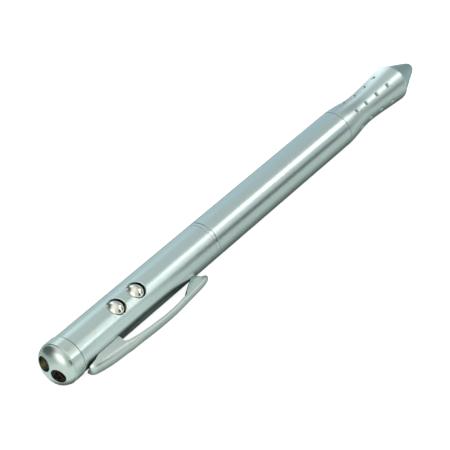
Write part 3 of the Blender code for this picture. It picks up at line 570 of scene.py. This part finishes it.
def makeUpperBarrel():
    # two round skins with a window left out at each button, a rim at each end, and a patch with the
    # hole in each window
    s = upperBarrel
    angles = evenAngles(s["around"])
    windows = [(station - s["windowHalf"], station + s["windowHalf"]) for station in s["stations"]]
    (first, firstCount), (last, lastCount) = s["firstRings"], s["lastRings"]
    lines = [[s["start"] + s["chamfer"], s["start"] + s["endRing"]],
             np.linspace(first, windows[0][0], firstCount),
             np.linspace(windows[1][1], last, lastCount),
             [s["end"] - s["endRing"], s["end"] - s["chamfer"]]]
    lines += [np.linspace(low, high, s["windowRings"]) for low, high in windows]
    xs = np.unique(np.round(np.concatenate(lines), 6))
    middle = (xs[:-1] + xs[1:]) / 2
    inWindow = np.any([(middle > low) & (middle < high) for low, high in windows], axis=0)
    column = np.arange(s["around"])
    half = s["around"] // 2
    besideButtons = (column >= half - s["windowSteps"]) & (column < half + s["windowSteps"])
    keep = ~(inWindow[:, None] & besideButtons[None, :])
    skins = [gridSheet(roundAxis(xs[:, None], radius, angles[None, :]), wrapped=True, keep=keep)
             for radius in (s["radius"], s["bore"])]
    c = s["chamfer"]
    for face, way in ((s["start"], 1), (s["end"], -1)):
        rim = roundedLine([(face + way * c, s["radius"]), (face, s["radius"]), (face, s["bore"]),
                           (face + way * c, s["bore"])], [0, c, c, 0])
        skins.append(turnedSheet(rim, angles))
    patches = [holePatch(station) for station in s["stations"]]
    finishedPiece("upperBarrel", skins + patches, "barrelMetal", "upper_half", "upper_barrel")


makeUpperBarrel()


pushButton = {"radius": 1.88, "top": 5.32, "edge": 4.44, "flangeRadius": 2.5, "flangeTop": 3.35,
              "flangeBase": 2.85, "stemRadius": 0.7, "stemBase": 2.45, "edgeRound": 0.24,
              "crownShare": 0.93, "around": 72}


def makeButton(name, station, body, node):
    # a spherical crown over a short cylinder, with the flange that keeps it in and its stem
    s = pushButton
    rise = s["top"] - s["edge"]
    ball = (s["radius"] ** 2 + rise ** 2) / (2 * rise)
    turn = np.linspace(0, s["crownShare"], 12) * math.asin(s["radius"] / ball)
    crown = np.stack([s["top"] - ball * (1 - np.cos(turn)), ball * np.sin(turn)], axis=-1)
    skirt = roundedLine([crown[-1], (s["edge"], s["radius"]), (s["flangeTop"], s["radius"]),
                         (s["flangeTop"], s["flangeRadius"]), (s["flangeBase"], s["flangeRadius"]),
                         (s["flangeBase"], s["stemRadius"]), (s["stemBase"], s["stemRadius"]),
                         (s["stemBase"], 0)],
                        [0, s["edgeRound"], 0.05, 0.06, 0.06, 0.05, 0.06, 0], spacing=0.4)
    line = np.concatenate([crown, skirt[1:]])
    finishedPiece(name, [buttonSheet(line, station, evenAngles(s["around"]))], "buttonMetal", body,
                  node)


makeButton("laserButton", upperBarrel["stations"][0], "laser_press", "laser_button")
makeButton("lampButton", upperBarrel["stations"][1], "lamp_press", "lamp_button")


# Each row of the back is a station x, the shoulder's height above the pen's axis, the rise of the
# rounded back over it and the half width; each row of the underside is x, height, corner radius;
# each row of kept is x and the share of the half width that is left at the underside.
clip = {"seat": 5.07, "cornerRound": 0.14, "cornerShare": 0.3,
        "frontReach": -0.30, "rearReach": 0.06,
        "backPoints": 29, "flankPoints": 10, "cornerPoints": 5, "basePoints": 9,
        "evenRings": [(4.0, 11.7, 24), (12.2, 33.0, 54), (33.0, 40.8, 44)],
        "notchRings": [11.72, 11.74, 11.78, 11.84, 11.92, 12.04],
        "back": [(1.2, 5.62, 0.90, 1.30), (1.45, 5.70, 1.14, 1.56), (1.75, 5.75, 1.32, 1.74),
                 (2.2, 5.80, 1.46, 1.88), (3.0, 5.88, 1.58, 1.98), (4.5, 6.03, 1.70, 2.06),
                 (6.0, 6.20, 1.76, 2.08), (8.0, 6.42, 1.75, 2.08), (10.0, 6.66, 1.64, 2.05),
                 (12.0, 6.94, 1.48, 1.98), (13.5, 7.25, 1.30, 1.93), (15.0, 7.53, 1.05, 1.88),
                 (17.0, 7.80, 0.82, 1.84), (20.0, 8.11, 0.64, 1.80), (22.5, 8.24, 0.60, 1.78),
                 (25.0, 8.29, 0.62, 1.68), (28.0, 8.27, 0.66, 1.58), (31.0, 8.12, 0.68, 1.50),
                 (34.0, 7.92, 0.68, 1.44), (36.0, 7.80, 0.68, 1.42), (38.0, 7.65, 0.70, 1.40),
                 (39.6, 7.52, 0.70, 1.34), (41.0, 7.38, 0.60, 1.05), (41.7, 7.15, 0.50, 0.75),
                 (42.0, 6.95, 0.35, 0.45)],
        "under": [(1.2, 5.32, 0), (2.8, 5.20, 0.5), (4.4, 4.70, 0.3), (11.70, 4.60, 0),
                  (11.74, 6.30, 0.6), (12.8, 6.72, 0.8), (16.0, 7.20, 2), (20.0, 7.54, 3),
                  (24.5, 7.78, 4), (29.0, 7.71, 4), (33.3, 7.34, 0.5), (35.2, 6.30, 0.8),
                  (37.0, 5.45, 1.0), (38.3, 4.95, 0.2), (39.8, 4.95, 0.2), (40.6, 6.20, 0.4),
                  (42.0, 6.80, 0)],
        "kept": [(1.2, 1), (33.0, 1), (34.0, 0.80), (35.7, 0.52), (37.6, 0.32), (39.8, 0.28),
                 (40.7, 0.45), (42.0, 0.8)]}


def clipSections(xs):
    # the flanks fall from the shoulders, drawn in towards the underside by a square law; the back
    # is half an ellipse, and nothing lies lower than the seat on the barrel
    s = clip
    back = np.array(s["back"])
    shoulder, crown, half = [smoothThrough(back[:, [0, k]], xs)[:, None] for k in (1, 2, 3)]
    under = np.array(s["under"])
    line = roundedLine(under[:, :2], under[:, 2], spacing=0.6)
    low = np.interp(xs, line[:, 0], line[:, 1])[:, None]
    kept = np.interp(xs, *np.array(s["kept"]).T)[:, None]
    corner = np.minimum(s["cornerRound"], s["cornerShare"] * (shoulder - low))
    turn = np.linspace(0, math.pi, s["backPoints"])[None, :]
    backZ, backH = half * np.cos(turn), shoulder + crown * np.sin(turn)
    fall = np.linspace(0, 1, s["flankPoints"])[None, 1:] * (1 - corner / (shoulder - low))
    sideZ, sideH = half * (1 - (1 - kept) * fall ** 2), shoulder - (shoulder - low) * fall
    bend = np.linspace(0, math.pi / 2, s["cornerPoints"])[None, 1:]
    edge = sideZ[:, -1:]
    bendZ, bendH = edge - corner * (1 - np.cos(bend)), low + corner * (1 - np.sin(bend))
    across = np.linspace(-1, 1, s["basePoints"])[None, 1:-1]
    baseZ, baseH = across * (edge - corner), low + 0 * across
    z = np.concatenate([backZ, -sideZ, -bendZ, baseZ, bendZ[:, ::-1], sideZ[:, ::-1]], axis=1)
    height = np.concatenate([backH, sideH, bendH, baseH, bendH[:, ::-1], sideH[:, ::-1]], axis=1)
    height = np.maximum(height, np.sqrt(np.clip(s["seat"] ** 2 - z ** 2, 0, None)))
    return np.stack([np.broadcast_to(xs[:, None], z.shape), -height, z], axis=-1)


def roundedEnd(ring, reach):
    # rings that shrink towards the middle of an end ring while they move on by the reach
    middle = ring.mean(axis=0)
    turn = np.linspace(0, math.pi / 2, 6)[1:, None, None]
    rings = middle + (ring - middle) * np.cos(turn)
    return rings + np.array([reach, 0, 0]) * np.sin(turn)


def makeClip():
    # sections all along, close together at the ends and at the notch, and both ends rounded off
    s = clip
    ease = 1 - np.cos(np.linspace(0, math.pi / 2, 12))
    start, end = s["back"][0][0], s["back"][-1][0]
    frontEnds, rearStarts = s["evenRings"][0][0], s["evenRings"][-1][1]
    lines = [np.linspace(*span) for span in s["evenRings"]]
    lines += [start + (frontEnds - start) * ease, s["notchRings"], end - (end - rearStarts) * ease]
    points = clipSections(np.unique(np.round(np.concatenate(lines), 4)))
    front, rear = roundedEnd(points[0], s["frontReach"]), roundedEnd(points[-1], s["rearReach"])
    rings = np.concatenate([front[::-1], points, rear])
    finishedPiece("pocketClip", [gridSheet(rings, wrapped=True)], "clipMetal", "upper_half",
                  "pocket_clip", sharpest=50)


makeClip()


coupler = {"front": 43.5, "ringStart": 48.5, "ringEnd": 49.5, "rear": 55.0, "radius": 5.0,
           "frontSpigot": 4.3, "rearSpigot": 4.25, "groove": (51.9, 52.9), "grooveRadius": 3.85,
           "bore": 3.5, "seat": 50.5, "pipBore": 1.1, "well": 44.9, "around": 144}


def makeCoupler():
    # the narrow ring between the halves, with a spigot into each, in one turned line
    s = coupler
    a, b = s["groove"]
    line = roundedLine([(s["well"], 0), (s["well"], s["pipBore"]), (s["front"], s["pipBore"]),
                        (s["front"], s["frontSpigot"]), (s["ringStart"], s["frontSpigot"]),
                        (s["ringStart"], s["radius"]), (s["ringEnd"], s["radius"]),
                        (s["ringEnd"], s["rearSpigot"]), (a, s["rearSpigot"]),
                        (a, s["grooveRadius"]), (b, s["grooveRadius"]), (b, s["rearSpigot"]),
                        (s["rear"], s["rearSpigot"]), (s["rear"], s["bore"]), (s["seat"], s["bore"]),
                        (s["seat"], 0)],
                       [0, 0, 0.05, 0.1, 0, 0.09, 0.09, 0, 0, 0, 0, 0, 0.1, 0.05, 0, 0])
    finishedPiece("centreRing", [turnedSheet(line, evenAngles(s["around"]))], "ringMetal",
                  "upper_half", "centre_coupler")


lowerBarrel = {"start": 49.62, "end": 105.32, "radius": 5.0, "bore": 4.4, "chamfer": 0.12,
               "around": 160}


def makeLowerBarrel():
    # a plain tube with its outer edges eased
    s = lowerBarrel
    c = s["chamfer"]
    line = roundedLine([(s["start"], s["bore"]), (s["start"], s["radius"]),
                        (s["end"], s["radius"]), (s["end"], s["bore"])], [0, c, c, 0],
                       spacing=2.0, closed=True)
    finishedPiece("lowerBarrel", [turnedSheet(line, evenAngles(s["around"]))], "barrelMetal",
                  "lower_half", "lower_barrel")


makeCoupler()
makeLowerBarrel()


grip = {"start": 105.42, "length": 26.65, "startRadius": 5.0, "neckRadius": 4.04, "neckAt": 11.8,
        "flareRadius": 4.97, "flareAt": 26.0, "edgeRadius": 4.8, "bore": 2.6, "spigotStart": 99.82,
        "spigotRadius": 4.3, "counterbore": 3.2, "counterStart": 128.07, "frontRadius": 4.998,
        "firstRing": 0.12, "dimpleRadius": 0.70, "dimpleCore": 0.48, "dimpleRound": 0.04,
        "dimpleDepth": 0.85, "dimpleFirst": 6.0, "dimplePitch": 4.75, "dimplesInRow": 4, "rows": 6,
        "firstRow": 16.0, "windowHalf": 0.85, "windowRadius": 4.45, "windowLines": 9,
        "linesBetween": 14, "frontRings": 16, "edgeRings": 9, "riseMix": (0.7, 0.3),
        "risePower": 1.5, "dimpleSlope": 1.1,
        "dimpleFloor": [(1, 0.6), (1, 0.94), (0.9, 1), (0, 1.1)]}   # shares of core and depth


def gripRadius(x):
    # a cosine fall to the neck, then a rise that mixes a power curve with a cosine
    s = grip
    along = x - s["start"]
    fall = s["startRadius"] + (s["neckRadius"] - s["startRadius"]) * (
        1 - np.cos(math.pi * np.clip(along / s["neckAt"], 0, 1))) / 2
    share = np.clip((along - s["neckAt"]) / (s["flareAt"] - s["neckAt"]), 0, 1)
    steep, soft = s["riseMix"]
    rise = steep * share ** s["risePower"] + soft * (1 - np.cos(math.pi * share)) / 2
    radius = np.where(along < s["neckAt"], fall,
                      s["neckRadius"] + (s["flareRadius"] - s["neckRadius"]) * rise)
    over = np.clip((along - s["flareAt"]) / (s["length"] - s["flareAt"]), 0, 1)
    drop = 1 - np.sqrt(np.clip(1 - over ** 2, 0, 1))
    return radius - (s["flareRadius"] - s["edgeRadius"]) * drop


def dimplePatch(centreX, centreTurn, xs, turns):
    # lines from a window in the grip's grid to the dimple's rim, over its rounded edge, down the
    # countersink and the drilled wall, and over the floor to the middle
    s = grip
    size, core, bevel, depth = s["dimpleRadius"], s["dimpleCore"], s["dimpleRound"], s["dimpleDepth"]
    loop = windowLoop(xs, turns)
    middle = gripRadius(np.array(centreX))
    across = np.stack([loop[:, 0] - centreX, (loop[:, 1] - centreTurn) * middle], axis=-1)
    reach, way = raysTo(across, 0)
    rings = [(reach + (size + bevel - reach) * share, 0) for share in (0, 0.3, 0.65, 0.9, 1)]
    slope = s["dimpleSlope"] * (size - core)
    drilled = [(share * core, deep * depth) for share, deep in s["dimpleFloor"]]
    for ring, sink in [(size, bevel / 4), (size - bevel, bevel), (core + bevel, slope),
                       (core, slope + bevel), *drilled]:
        rings.append((0 * reach + ring, sink))
    rows = []
    for ring, sink in rings:
        x = centreX + way[:, 0] * ring
        turn = centreTurn + way[:, 1] * ring / middle
        rows.append(roundAxis(x, gripRadius(x) - sink, turn))
    return gridSheet(np.stack(rows), wrapped=True)


def makeGrip():
    # one outer skin whose grid has a window at each dimple, a patch in each window, and the spigot
    # and bore as one turned line
    s = grip
    half, count = s["windowHalf"], s["windowLines"]
    centres = s["start"] + s["dimpleFirst"] + s["dimplePitch"] * np.arange(s["dimplesInRow"])
    rowPitch = 2 * math.pi / s["rows"]
    rowTurns = -math.pi + math.radians(s["firstRow"]) % rowPitch + rowPitch * np.arange(s["rows"])
    flareEnd = s["start"] + s["length"]
    afters = [*(centres[1:] - half), s["start"] + s["flareAt"]]
    lines = [np.linspace(s["start"] + s["firstRing"], centres[0] - half, s["frontRings"])]
    for centre, after in zip(centres, afters):
        lines.append(np.linspace(centre - half, centre + half, count))
        lines.append(np.linspace(centre + half, after, count))
    bend = np.linspace(0, math.pi / 2, s["edgeRings"])
    lines.append(flareEnd - (s["length"] - s["flareAt"]) * np.cos(bend))
    xs = np.unique(np.round(np.concatenate(lines), 6))
    spread = half / s["windowRadius"]
    inWindow = np.linspace(-spread, spread, count)
    between = np.linspace(spread, rowPitch - spread, s["linesBetween"])
    inRow = np.concatenate([inWindow[:-1], between[:-1]])
    turns = (rowTurns[:, None] + inRow).ravel()
    middleX = (xs[:-1] + xs[1:]) / 2
    inX = np.any([(middleX > c - half) & (middleX < c + half) for c in centres], axis=0)
    inTurn = np.arange(len(turns)) % len(inRow) < count - 1
    keep = ~(inX[:, None] & inTurn[None, :])
    sheets = [gridSheet(roundAxis(xs[:, None], gripRadius(xs)[:, None], turns[None, :]),
                        wrapped=True, keep=keep)]
    for centre in centres:
        window = xs[(xs > centre - half - 0.001) & (xs < centre + half + 0.001)]
        sheets += [dimplePatch(centre, row, window, row + inWindow) for row in rowTurns]
    front = roundedLine([(xs[0], float(gripRadius(xs[:1])[0])), (s["start"], s["frontRadius"]),
                         (s["start"], s["spigotRadius"]), (s["spigotStart"], s["spigotRadius"]),
                         (s["spigotStart"], s["bore"]), (s["counterStart"], s["bore"]),
                         (s["counterStart"], s["counterbore"]), (flareEnd, s["counterbore"]),
                         (flareEnd, s["edgeRadius"])],
                        [0, 0.08, 0, 0.1, 0.05, 0, 0, 0.05, 0], spacing=2.0)
    sheets.append(turnedSheet(front, turns))
    finishedPiece("gripSection", sheets, "gripMetal", "lower_half", "grip_section",
                  sharpest=45)


makeGrip()


nose = {"start": 132.12, "end": 140.72, "baseRadius": 4.7, "shoulderRadius": 1.62,
        "faceRadius": 1.25, "bore": 1.35, "hole": 0.95, "holeLength": 0.3, "taper": 1.7,
        "spigotStart": 128.32, "spigotRadius": 3.1, "shoulderLength": 0.62, "around": 144}


def makeNose():
    # a straight cone with a rounded shoulder, hollow as far as the hole for the tip
    s = nose
    taperStart = s["end"] - s["holeLength"] - s["taper"]
    line = roundedLine([(s["spigotStart"], s["bore"]), (s["spigotStart"], s["spigotRadius"]),
                        (s["start"], s["spigotRadius"]), (s["start"], s["baseRadius"]),
                        (s["end"] - s["shoulderLength"], s["shoulderRadius"]),
                        (s["end"], s["faceRadius"]),
                        (s["end"], s["hole"]), (s["end"] - s["holeLength"], s["hole"]),
                        (taperStart, s["bore"])],
                       [0.05, 0.15, 0.05, 0.12, 1.2, 0.12, 0.06, 0.3, 0.3], spacing=0.6,
                       arcSteps=6, closed=True)
    finishedPiece("noseCone", [turnedSheet(line, evenAngles(s["around"]))], "noseMetal",
                  "lower_half", "nose_cone")


refillTip = {"tip": 139.72, "length": 7.8, "tail": 3.0, "tailRadius": 0.75, "radius": 1.05,
             "shoulder": 5.2, "step": 3.4, "stepRadius": 0.78, "stepLength": 0.1, "stepDrop": 0.12,
             "ballRadius": 0.35, "ballSwing": 1.25, "socketLength": 0.12, "socketWall": 0.07,
             "around": 48}


def makeRefillTip():
    # a tail, a round body that narrows in a cone and a step, and part of a ball in its socket
    s = refillTip
    base, step = s["tip"] - s["length"], s["tip"] - s["step"]
    turn = np.linspace(0, s["ballSwing"], 8)
    ball = np.stack([s["tip"] - s["ballRadius"] + s["ballRadius"] * np.cos(turn),
                     s["ballRadius"] * np.sin(turn)], axis=-1)[::-1]
    body = roundedLine([(base - s["tail"], 0), (base - s["tail"], s["tailRadius"]),
                        (base, s["tailRadius"]), (base, s["radius"]),
                        (s["tip"] - s["shoulder"], s["radius"]),
                        (step, s["stepRadius"]),
                        (step + s["stepLength"], s["stepRadius"] - s["stepDrop"]),
                        (ball[0, 0] - s["socketLength"], s["ballRadius"] + s["socketWall"]),
                        tuple(ball[0])],
                       [0, 0.1, 0, 0.1, 0.3, 0.05, 0.05, 0.04, 0], spacing=0.6)
    line = np.concatenate([body, ball[1:]])
    finishedPiece("writingTip", [turnedSheet(line, evenAngles(s["around"]))], "steelMetal",
                  "refill", "refill_tip")


makeNose()
makeRefillTip()


# The pieces inside keep their solids and get their finishes.
inside = {
    "brassMetal": ["cam_sleeve", "refill_tube"],
    "nickelMetal": ["laser_diode", "battery_spring", "button_cell_1", "button_cell_2",
                    "button_cell_3", "battery_contact", "guide_tube"],
    "steelMetal": ["clip_anchor", "drive_pin"],
    "blackPlastic": ["emitter_holder", "board_carrier", "laser_switch", "lamp_switch"],
    "whitePlastic": ["battery_sleeve", "friction_ring", "refill_carrier"],
    "redPlastic": ["laser_plunger", "lamp_plunger"],
    "boardLacquer": ["circuit_board"],
}
for finish, names in inside.items():
    for name in names:
        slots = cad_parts[name].data.materials
        slots.clear()
        slots.append(finishes[finish])
print("inner pieces finished")

# The studio, in world metres. Reflections in the satin metal make the look, so most of its panels
# are there to be mirrored.
paperFloor = {"size": 1.6, "colour": (0.82, 0.83, 0.83), "specular": 0.1, "lift": 0.85,
              "glow": (0.34, 0.11), "glowFade": (-0.045, -0.010), "glowSide": (-0.002, 0.004),
              "aheadFade": (-0.0775, -0.0735), "aheadSide": (0.008, 0.016)}


def stageSheet(name, points, faces):
    # a sheet of the studio, which isn't part of the pen
    mesh = bpy.data.meshes.new(name)
    mesh.from_pydata(points, [], faces)
    sheet = bpy.data.objects.new(name, mesh)
    bpy.context.scene.collection.objects.link(sheet)
    return sheet


def placeOn(tree):
    # the object's own coordinates, whole and as X, Y and Z
    place = newNode(tree, "TexCoord").outputs["Object"]
    return place, newNode(tree, "SeparateXYZ", {"Vector": place}).outputs


def addGlow(tree, surface, strength):
    # the surface and a white glow of the strength together
    glow = newNode(tree, "Emission", {"Strength": strength})
    both = newNode(tree, "AddShader", [surface, glow.outputs["Emission"]])
    feed(tree, tree.nodes["Material Output"].inputs["Surface"], both.outputs["Shader"])


def makeFloor():
    # a pale sheet: the camera sees it lifted to white with the pen's shadow on it, and reflections
    # see it glow on the near side and ahead of the head
    s = paperFloor
    half = s["size"] / 2
    corners = [(-half, -half, 0), (half, -half, 0), (half, half, 0), (-half, half, 0)]
    floor = stageSheet("studioFloor", corners, [(0, 1, 2, 3)])
    material, tree, shader = newFinish("floorPaper", s["colour"])
    shader.inputs["Specular IOR Level"].default_value = s["specular"]
    paths = newNode(tree, "LightPath").outputs
    parts = placeOn(tree)[1]
    lift = timesOf(tree, paths["Is Camera Ray"], s["lift"])
    along = rangeOf(tree, parts["X"], *s["glow"], *s["glowFade"])
    side = rangeOf(tree, parts["Y"], 1, 0, *s["glowSide"])
    ahead = timesOf(tree, rangeOf(tree, parts["X"], 1, 0, *s["aheadFade"]),
                    rangeOf(tree, parts["Y"], 1, 0, *s["aheadSide"]))
    glow = timesOf(tree, along, mathOf(tree, "MAXIMUM", side, ahead))
    addGlow(tree, shader.outputs["BSDF"],
            mathOf(tree, "MULTIPLY_ADD", paths["Is Glossy Ray"], glow, lift))
    floor.data.materials.append(material)


# Fades are limits on the x or y of a ray's direction; a spot is its own direction, its edge (the
# cosines at which it starts and is full) and its colour.
room = {"colour": (0.58, 0.66, 0.67), "level": 1.05, "noseShare": 0.55, "noseFade": (0.68, 0.84),
        "head": (0.61, 0.675, 0.60), "headFade": (0.50, 0.64),
        "far": (0.50, 0.655, 0.745), "farFade": (0.10, 0.75),
        "glow": (0.86, 1.0, 0.99), "glowSide": (0.30, 0.62), "glowStart": (0.40, 0.52),
        "glowEnd": (0.50, 0.70),
        "spots": [((-0.28, 0.22, 0.93), (0.55, 0.86), (0.92, 0.91, 0.87)),
                  ((-0.30, 0.88, 0.36), (0.48, 0.90), (0.10, 0.13, 0.12)),
                  ((0.26, -0.92, 0.29), (0.925, 0.985), (0.10, 0.13, 0.12))]}


def makeWorld():
    # white to the camera; to other rays a pale teal room, a little greener except towards the nose,
    # bluer on the far side, and dimmer towards the nose. Only reflections see the glow on the far
    # side and the three spots, a pale warm one overhead and a dark one on each side; a spot is full
    # where the cosine between its direction and the ray's is past its edge
    s = room
    world = bpy.data.worlds.new("studioWorld")
    bpy.context.scene.world = world
    world.use_nodes = True
    tree = world.node_tree
    way = newNode(tree, "TexCoord").outputs["Generated"]
    parts = newNode(tree, "SeparateXYZ", {"Vector": way}).outputs
    paths = newNode(tree, "LightPath").outputs

    def ramp(value, limits, low=0, high=1):
        return rangeOf(tree, value, low, high, *limits, curve="SMOOTHSTEP")

    def inReflections(value):
        return timesOf(tree, value, paths["Is Glossy Ray"])

    along = timesOf(tree, ramp(parts["X"], s["glowEnd"], 1, 0), ramp(parts["X"], s["glowStart"]))
    glow = timesOf(tree, ramp(parts["Y"], s["glowSide"]), along)
    colour = blendOf(tree, ramp(parts["X"], s["headFade"], 1, 0), s["colour"], s["head"])
    colour = blendOf(tree, ramp(parts["Y"], s["farFade"]), colour, s["far"])
    colour = blendOf(tree, inReflections(glow), colour, s["glow"])
    for direction, edge, tint in s["spots"]:
        cosine = newNode(tree, "VectorMath", [way, direction], operation="DOT_PRODUCT")
        spot = inReflections(ramp(cosine.outputs["Value"], edge))
        colour = blendOf(tree, spot, colour, tint)
    walls = tree.nodes["Background"]
    feed(tree, walls.inputs["Color"], colour)
    feed(tree, walls.inputs["Strength"],
         ramp(parts["X"], s["noseFade"], s["level"], s["level"] * s["noseShare"]))
    white = newNode(tree, "Background", {"Color": (1, 1, 1, 1)})
    pick = newNode(tree, "MixShader", [paths["Is Camera Ray"], walls.outputs["Background"],
                                       white.outputs["Background"]])
    feed(tree, tree.nodes["World Output"].inputs["Surface"], pick.outputs["Shader"])


def stagePanel(name, points, faces=((0, 1, 2, 3),), colour=(0, 0, 0), lights=False):
    # a panel that the camera doesn't see and that throws no shadow; unless it lights the pen, only
    # reflections see it
    panel = stageSheet(name, points, faces)
    material, tree, shader = newFinish(name + "Face", colour)
    panel.data.materials.append(material)
    panel.visible_camera = False
    panel.visible_shadow = False
    panel.visible_diffuse = lights
    return tree, shader


def glowOf(tree, shader, colour, level):
    # light of the colour from the panel's own shader
    shader.inputs["Emission Color"].default_value = (*colour, 1)
    feed(tree, shader.inputs["Emission Strength"], level)


# A soft box's stations: world x on the pen in metres, the reflected ray's share along x, the
# ray's turn from straight up towards the near side, and half the box's width, both in degrees.
softBoxes = {
    "stripBox": {
        "stations": [
            (-0.0675, 0.46, 63, 6), (-0.0675, 0.52, 61, 6), (-0.058, 0.57, 58, 7),
            (-0.048, 0.59, 50, 8), (-0.040, 0.61, 40, 8), (-0.030, 0.63, 36, 7.5),
            (-0.020, 0.64, 34, 7.5), (0.0, 0.665, 33.5, 8), (0.020, 0.68, 36.5, 9.5),
            (0.035, 0.69, 37.5, 10.5), (0.065, 0.71, 38, 10), (0.065, 0.85, 38, 10)],
        "level": 2.9, "colour": (1.0, 0.98, 0.95)},
    "farBox": {
        "stations": [(-0.0675, 0.36, -47, 14), (-0.0675, 0.58, -47, 14)],
        "level": 1.35, "colour": (0.92, 1.0, 1.0)},
}
boxPlace = {"reach": 0.6, "foot": 0.006}   # the rays' length, and the height that they start from


def makeBox(name):
    # a long bent soft box: at each station its edges lie on the rays that the pen reflects
    s = softBoxes[name]
    place, share, turn, half = np.array(s["stations"]).T
    rows = []
    for edge in (-1, 0, 1):
        across = np.radians(turn + edge * half)
        width = np.sqrt(1 - share ** 2)
        ray = np.stack([share, -width * np.sin(across), width * np.cos(across)], axis=-1)
        foot = np.stack([place, 0 * place, 0 * place + boxPlace["foot"]], axis=-1)
        rows.append(foot + boxPlace["reach"] * ray)
    points, quads = gridSheet(np.stack(rows))
    tree, shader = stagePanel(name, points, quads.tolist(), lights=True)
    glowOf(tree, shader, s["colour"], s["level"])


frontBox = {"middle": (-0.525, -0.125, 0.28), "half": 0.50, "fade": (0.08, 0.42), "level": 1.30}


def makeFrontBox():
    # a clear square ahead of the head that glows most in its middle
    s = frontBox
    middle = np.array(s["middle"])
    away = middle / np.linalg.norm(middle)
    across = np.cross(away, (0, 0, 1))
    across /= np.linalg.norm(across)
    upward = np.cross(across, away)
    corners = [middle + s["half"] * (across * i + upward * j)
               for i, j in ((-1, -1), (1, -1), (1, 1), (-1, 1))]
    tree = stagePanel("frontBox", corners)[0]
    distance = newNode(tree, "VectorMath", [placeOn(tree)[0], s["middle"]], operation="DISTANCE")
    addGlow(tree, newNode(tree, "BsdfTransparent").outputs["BSDF"],
            rangeOf(tree, distance.outputs["Value"], s["level"], 0, *s["fade"]))


sideCard = {"span": (0.0, 0.40), "y": -0.10, "height": 0.034, "colour": (0.88, 1.0, 0.99),
            "fade": (0.022, 0.052), "levels": (1.15, 0.06), "rise": (0.118, 0.160),
            "riseLevel": 0.40}
flareCard = {"span": (0.060, 0.090), "y": 0.016, "height": 0.042, "fade": (0.0635, 0.0725),
             "level": 0.86, "fullHeight": 0.4}
# The shadow card: its colour is the pen's painted shadow on the floor as reflections see it, foot is
# a darker painted contact shadow under the head, and beside and ahead are pale paper.
shadowCard = {"span": (-0.0762, 0.075), "sides": (-0.0128, 0.020), "lift": 0.00005,
             "colour": (0.23, 0.28, 0.27), "beside": (0.96, 0.99, 0.98),
             "besideFade": (-0.0094, -0.0029), "ahead": (0.92, 0.98, 0.96),
             "aheadFade": (-0.0690, -0.0645), "aheadGlow": 0.28, "foot": (0.36, 0.39, 0.37),
             "touchShadowAt": (-0.0693, 0.0003, 0.0), "touchShadowFade": (0.0036, 0.0056)}


def standingCorners(card):
    # an upright card along x, from the floor to its height
    (start, end), y, top = card["span"], card["y"], card["height"]
    return [(start, y, 0), (end, y, 0), (end, y, top), (start, y, top)]


def makeSideCard():
    # stands on the near side: pale beside the pen's middle, dark further on, then pale again
    s = sideCard
    tree, shader = stagePanel("sideCard", standingCorners(s))
    parts = placeOn(tree)[1]
    fade = rangeOf(tree, parts["X"], *s["levels"], *s["fade"])
    rise = rangeOf(tree, parts["X"], 0, s["riseLevel"], *s["rise"])
    glowOf(tree, shader, s["colour"], mathOf(tree, "ADD", fade, rise))


def makeFlareCard():
    # a clear card on the far side that glows beside the grip's flare and fades out upwards
    s = flareCard
    tree = stagePanel("flareCard", standingCorners(s))[0]
    parts = placeOn(tree)[1]
    upper = rangeOf(tree, parts["Z"], 1, 0, s["fullHeight"] * s["height"], s["height"])
    addGlow(tree, newNode(tree, "BsdfTransparent").outputs["BSDF"],
            timesOf(tree, rangeOf(tree, parts["X"], 0, s["level"], *s["fade"]), upper))


def makeShadowCard():
    # lies under the pen, seen only in reflections: dark below it as the pen's painted shadow, pale
    # along the near side, and ahead of the head pale with a darker round where the head touches
    # down, a painted contact shadow
    s = shadowCard
    (start, end), (near, far), lift = s["span"], s["sides"], s["lift"]
    corners = [(start, near, lift), (end, near, lift), (end, far, lift), (start, far, lift)]
    tree, shader = stagePanel("shadowCard", corners, colour=s["colour"])
    place, parts = placeOn(tree)
    # the darker round is a painted contact shadow; clear is 1 outside it
    distance = newNode(tree, "VectorMath", [place, s["touchShadowAt"]], operation="DISTANCE")
    clear = rangeOf(tree, distance.outputs["Value"], 0, 1, *s["touchShadowFade"])
    across = rangeOf(tree, parts["Y"], 0, 1, *s["besideFade"])
    shadowAcross = blendOf(tree, across, s["beside"], s["colour"])
    ahead = blendOf(tree, clear, s["foot"], s["ahead"])
    behind = rangeOf(tree, parts["X"], 0, 1, *s["aheadFade"])
    feed(tree, shader.inputs["Base Color"], blendOf(tree, behind, ahead, shadowAcross))
    glow = rangeOf(tree, parts["X"], s["aheadGlow"], 0, *s["aheadFade"])
    glowOf(tree, shader, s["ahead"], timesOf(tree, clear, glow))


photoCamera = {"place": (-0.299921, -0.233384, 0.259153), "turns": (55.63144, 4.47643, -54.09953),
               "lens": 153.85, "sensor": 36, "clip": (0.01, 20)}


def makeCamera():
    # the view that the pen's outline and seams gave
    s = photoCamera
    camera = bpy.data.cameras.new("photoCamera")
    camera.sensor_width = s["sensor"]
    camera.lens = s["lens"]
    camera.clip_start, camera.clip_end = s["clip"]
    view = bpy.data.objects.new("photoCamera", camera)
    view.location = s["place"]
    view.rotation_euler = [math.radians(turn) for turn in s["turns"]]
    bpy.context.scene.collection.objects.link(view)
    bpy.context.scene.camera = view


makeFloor()
makeWorld()
makeBox("stripBox")
makeBox("farBox")
makeFrontBox()
makeSideCard()
makeFlareCard()
makeShadowCard()
makeCamera()
bpy.context.scene.view_settings.view_transform = "Standard"
print("studio ready")

bpy.context.view_layer.update()
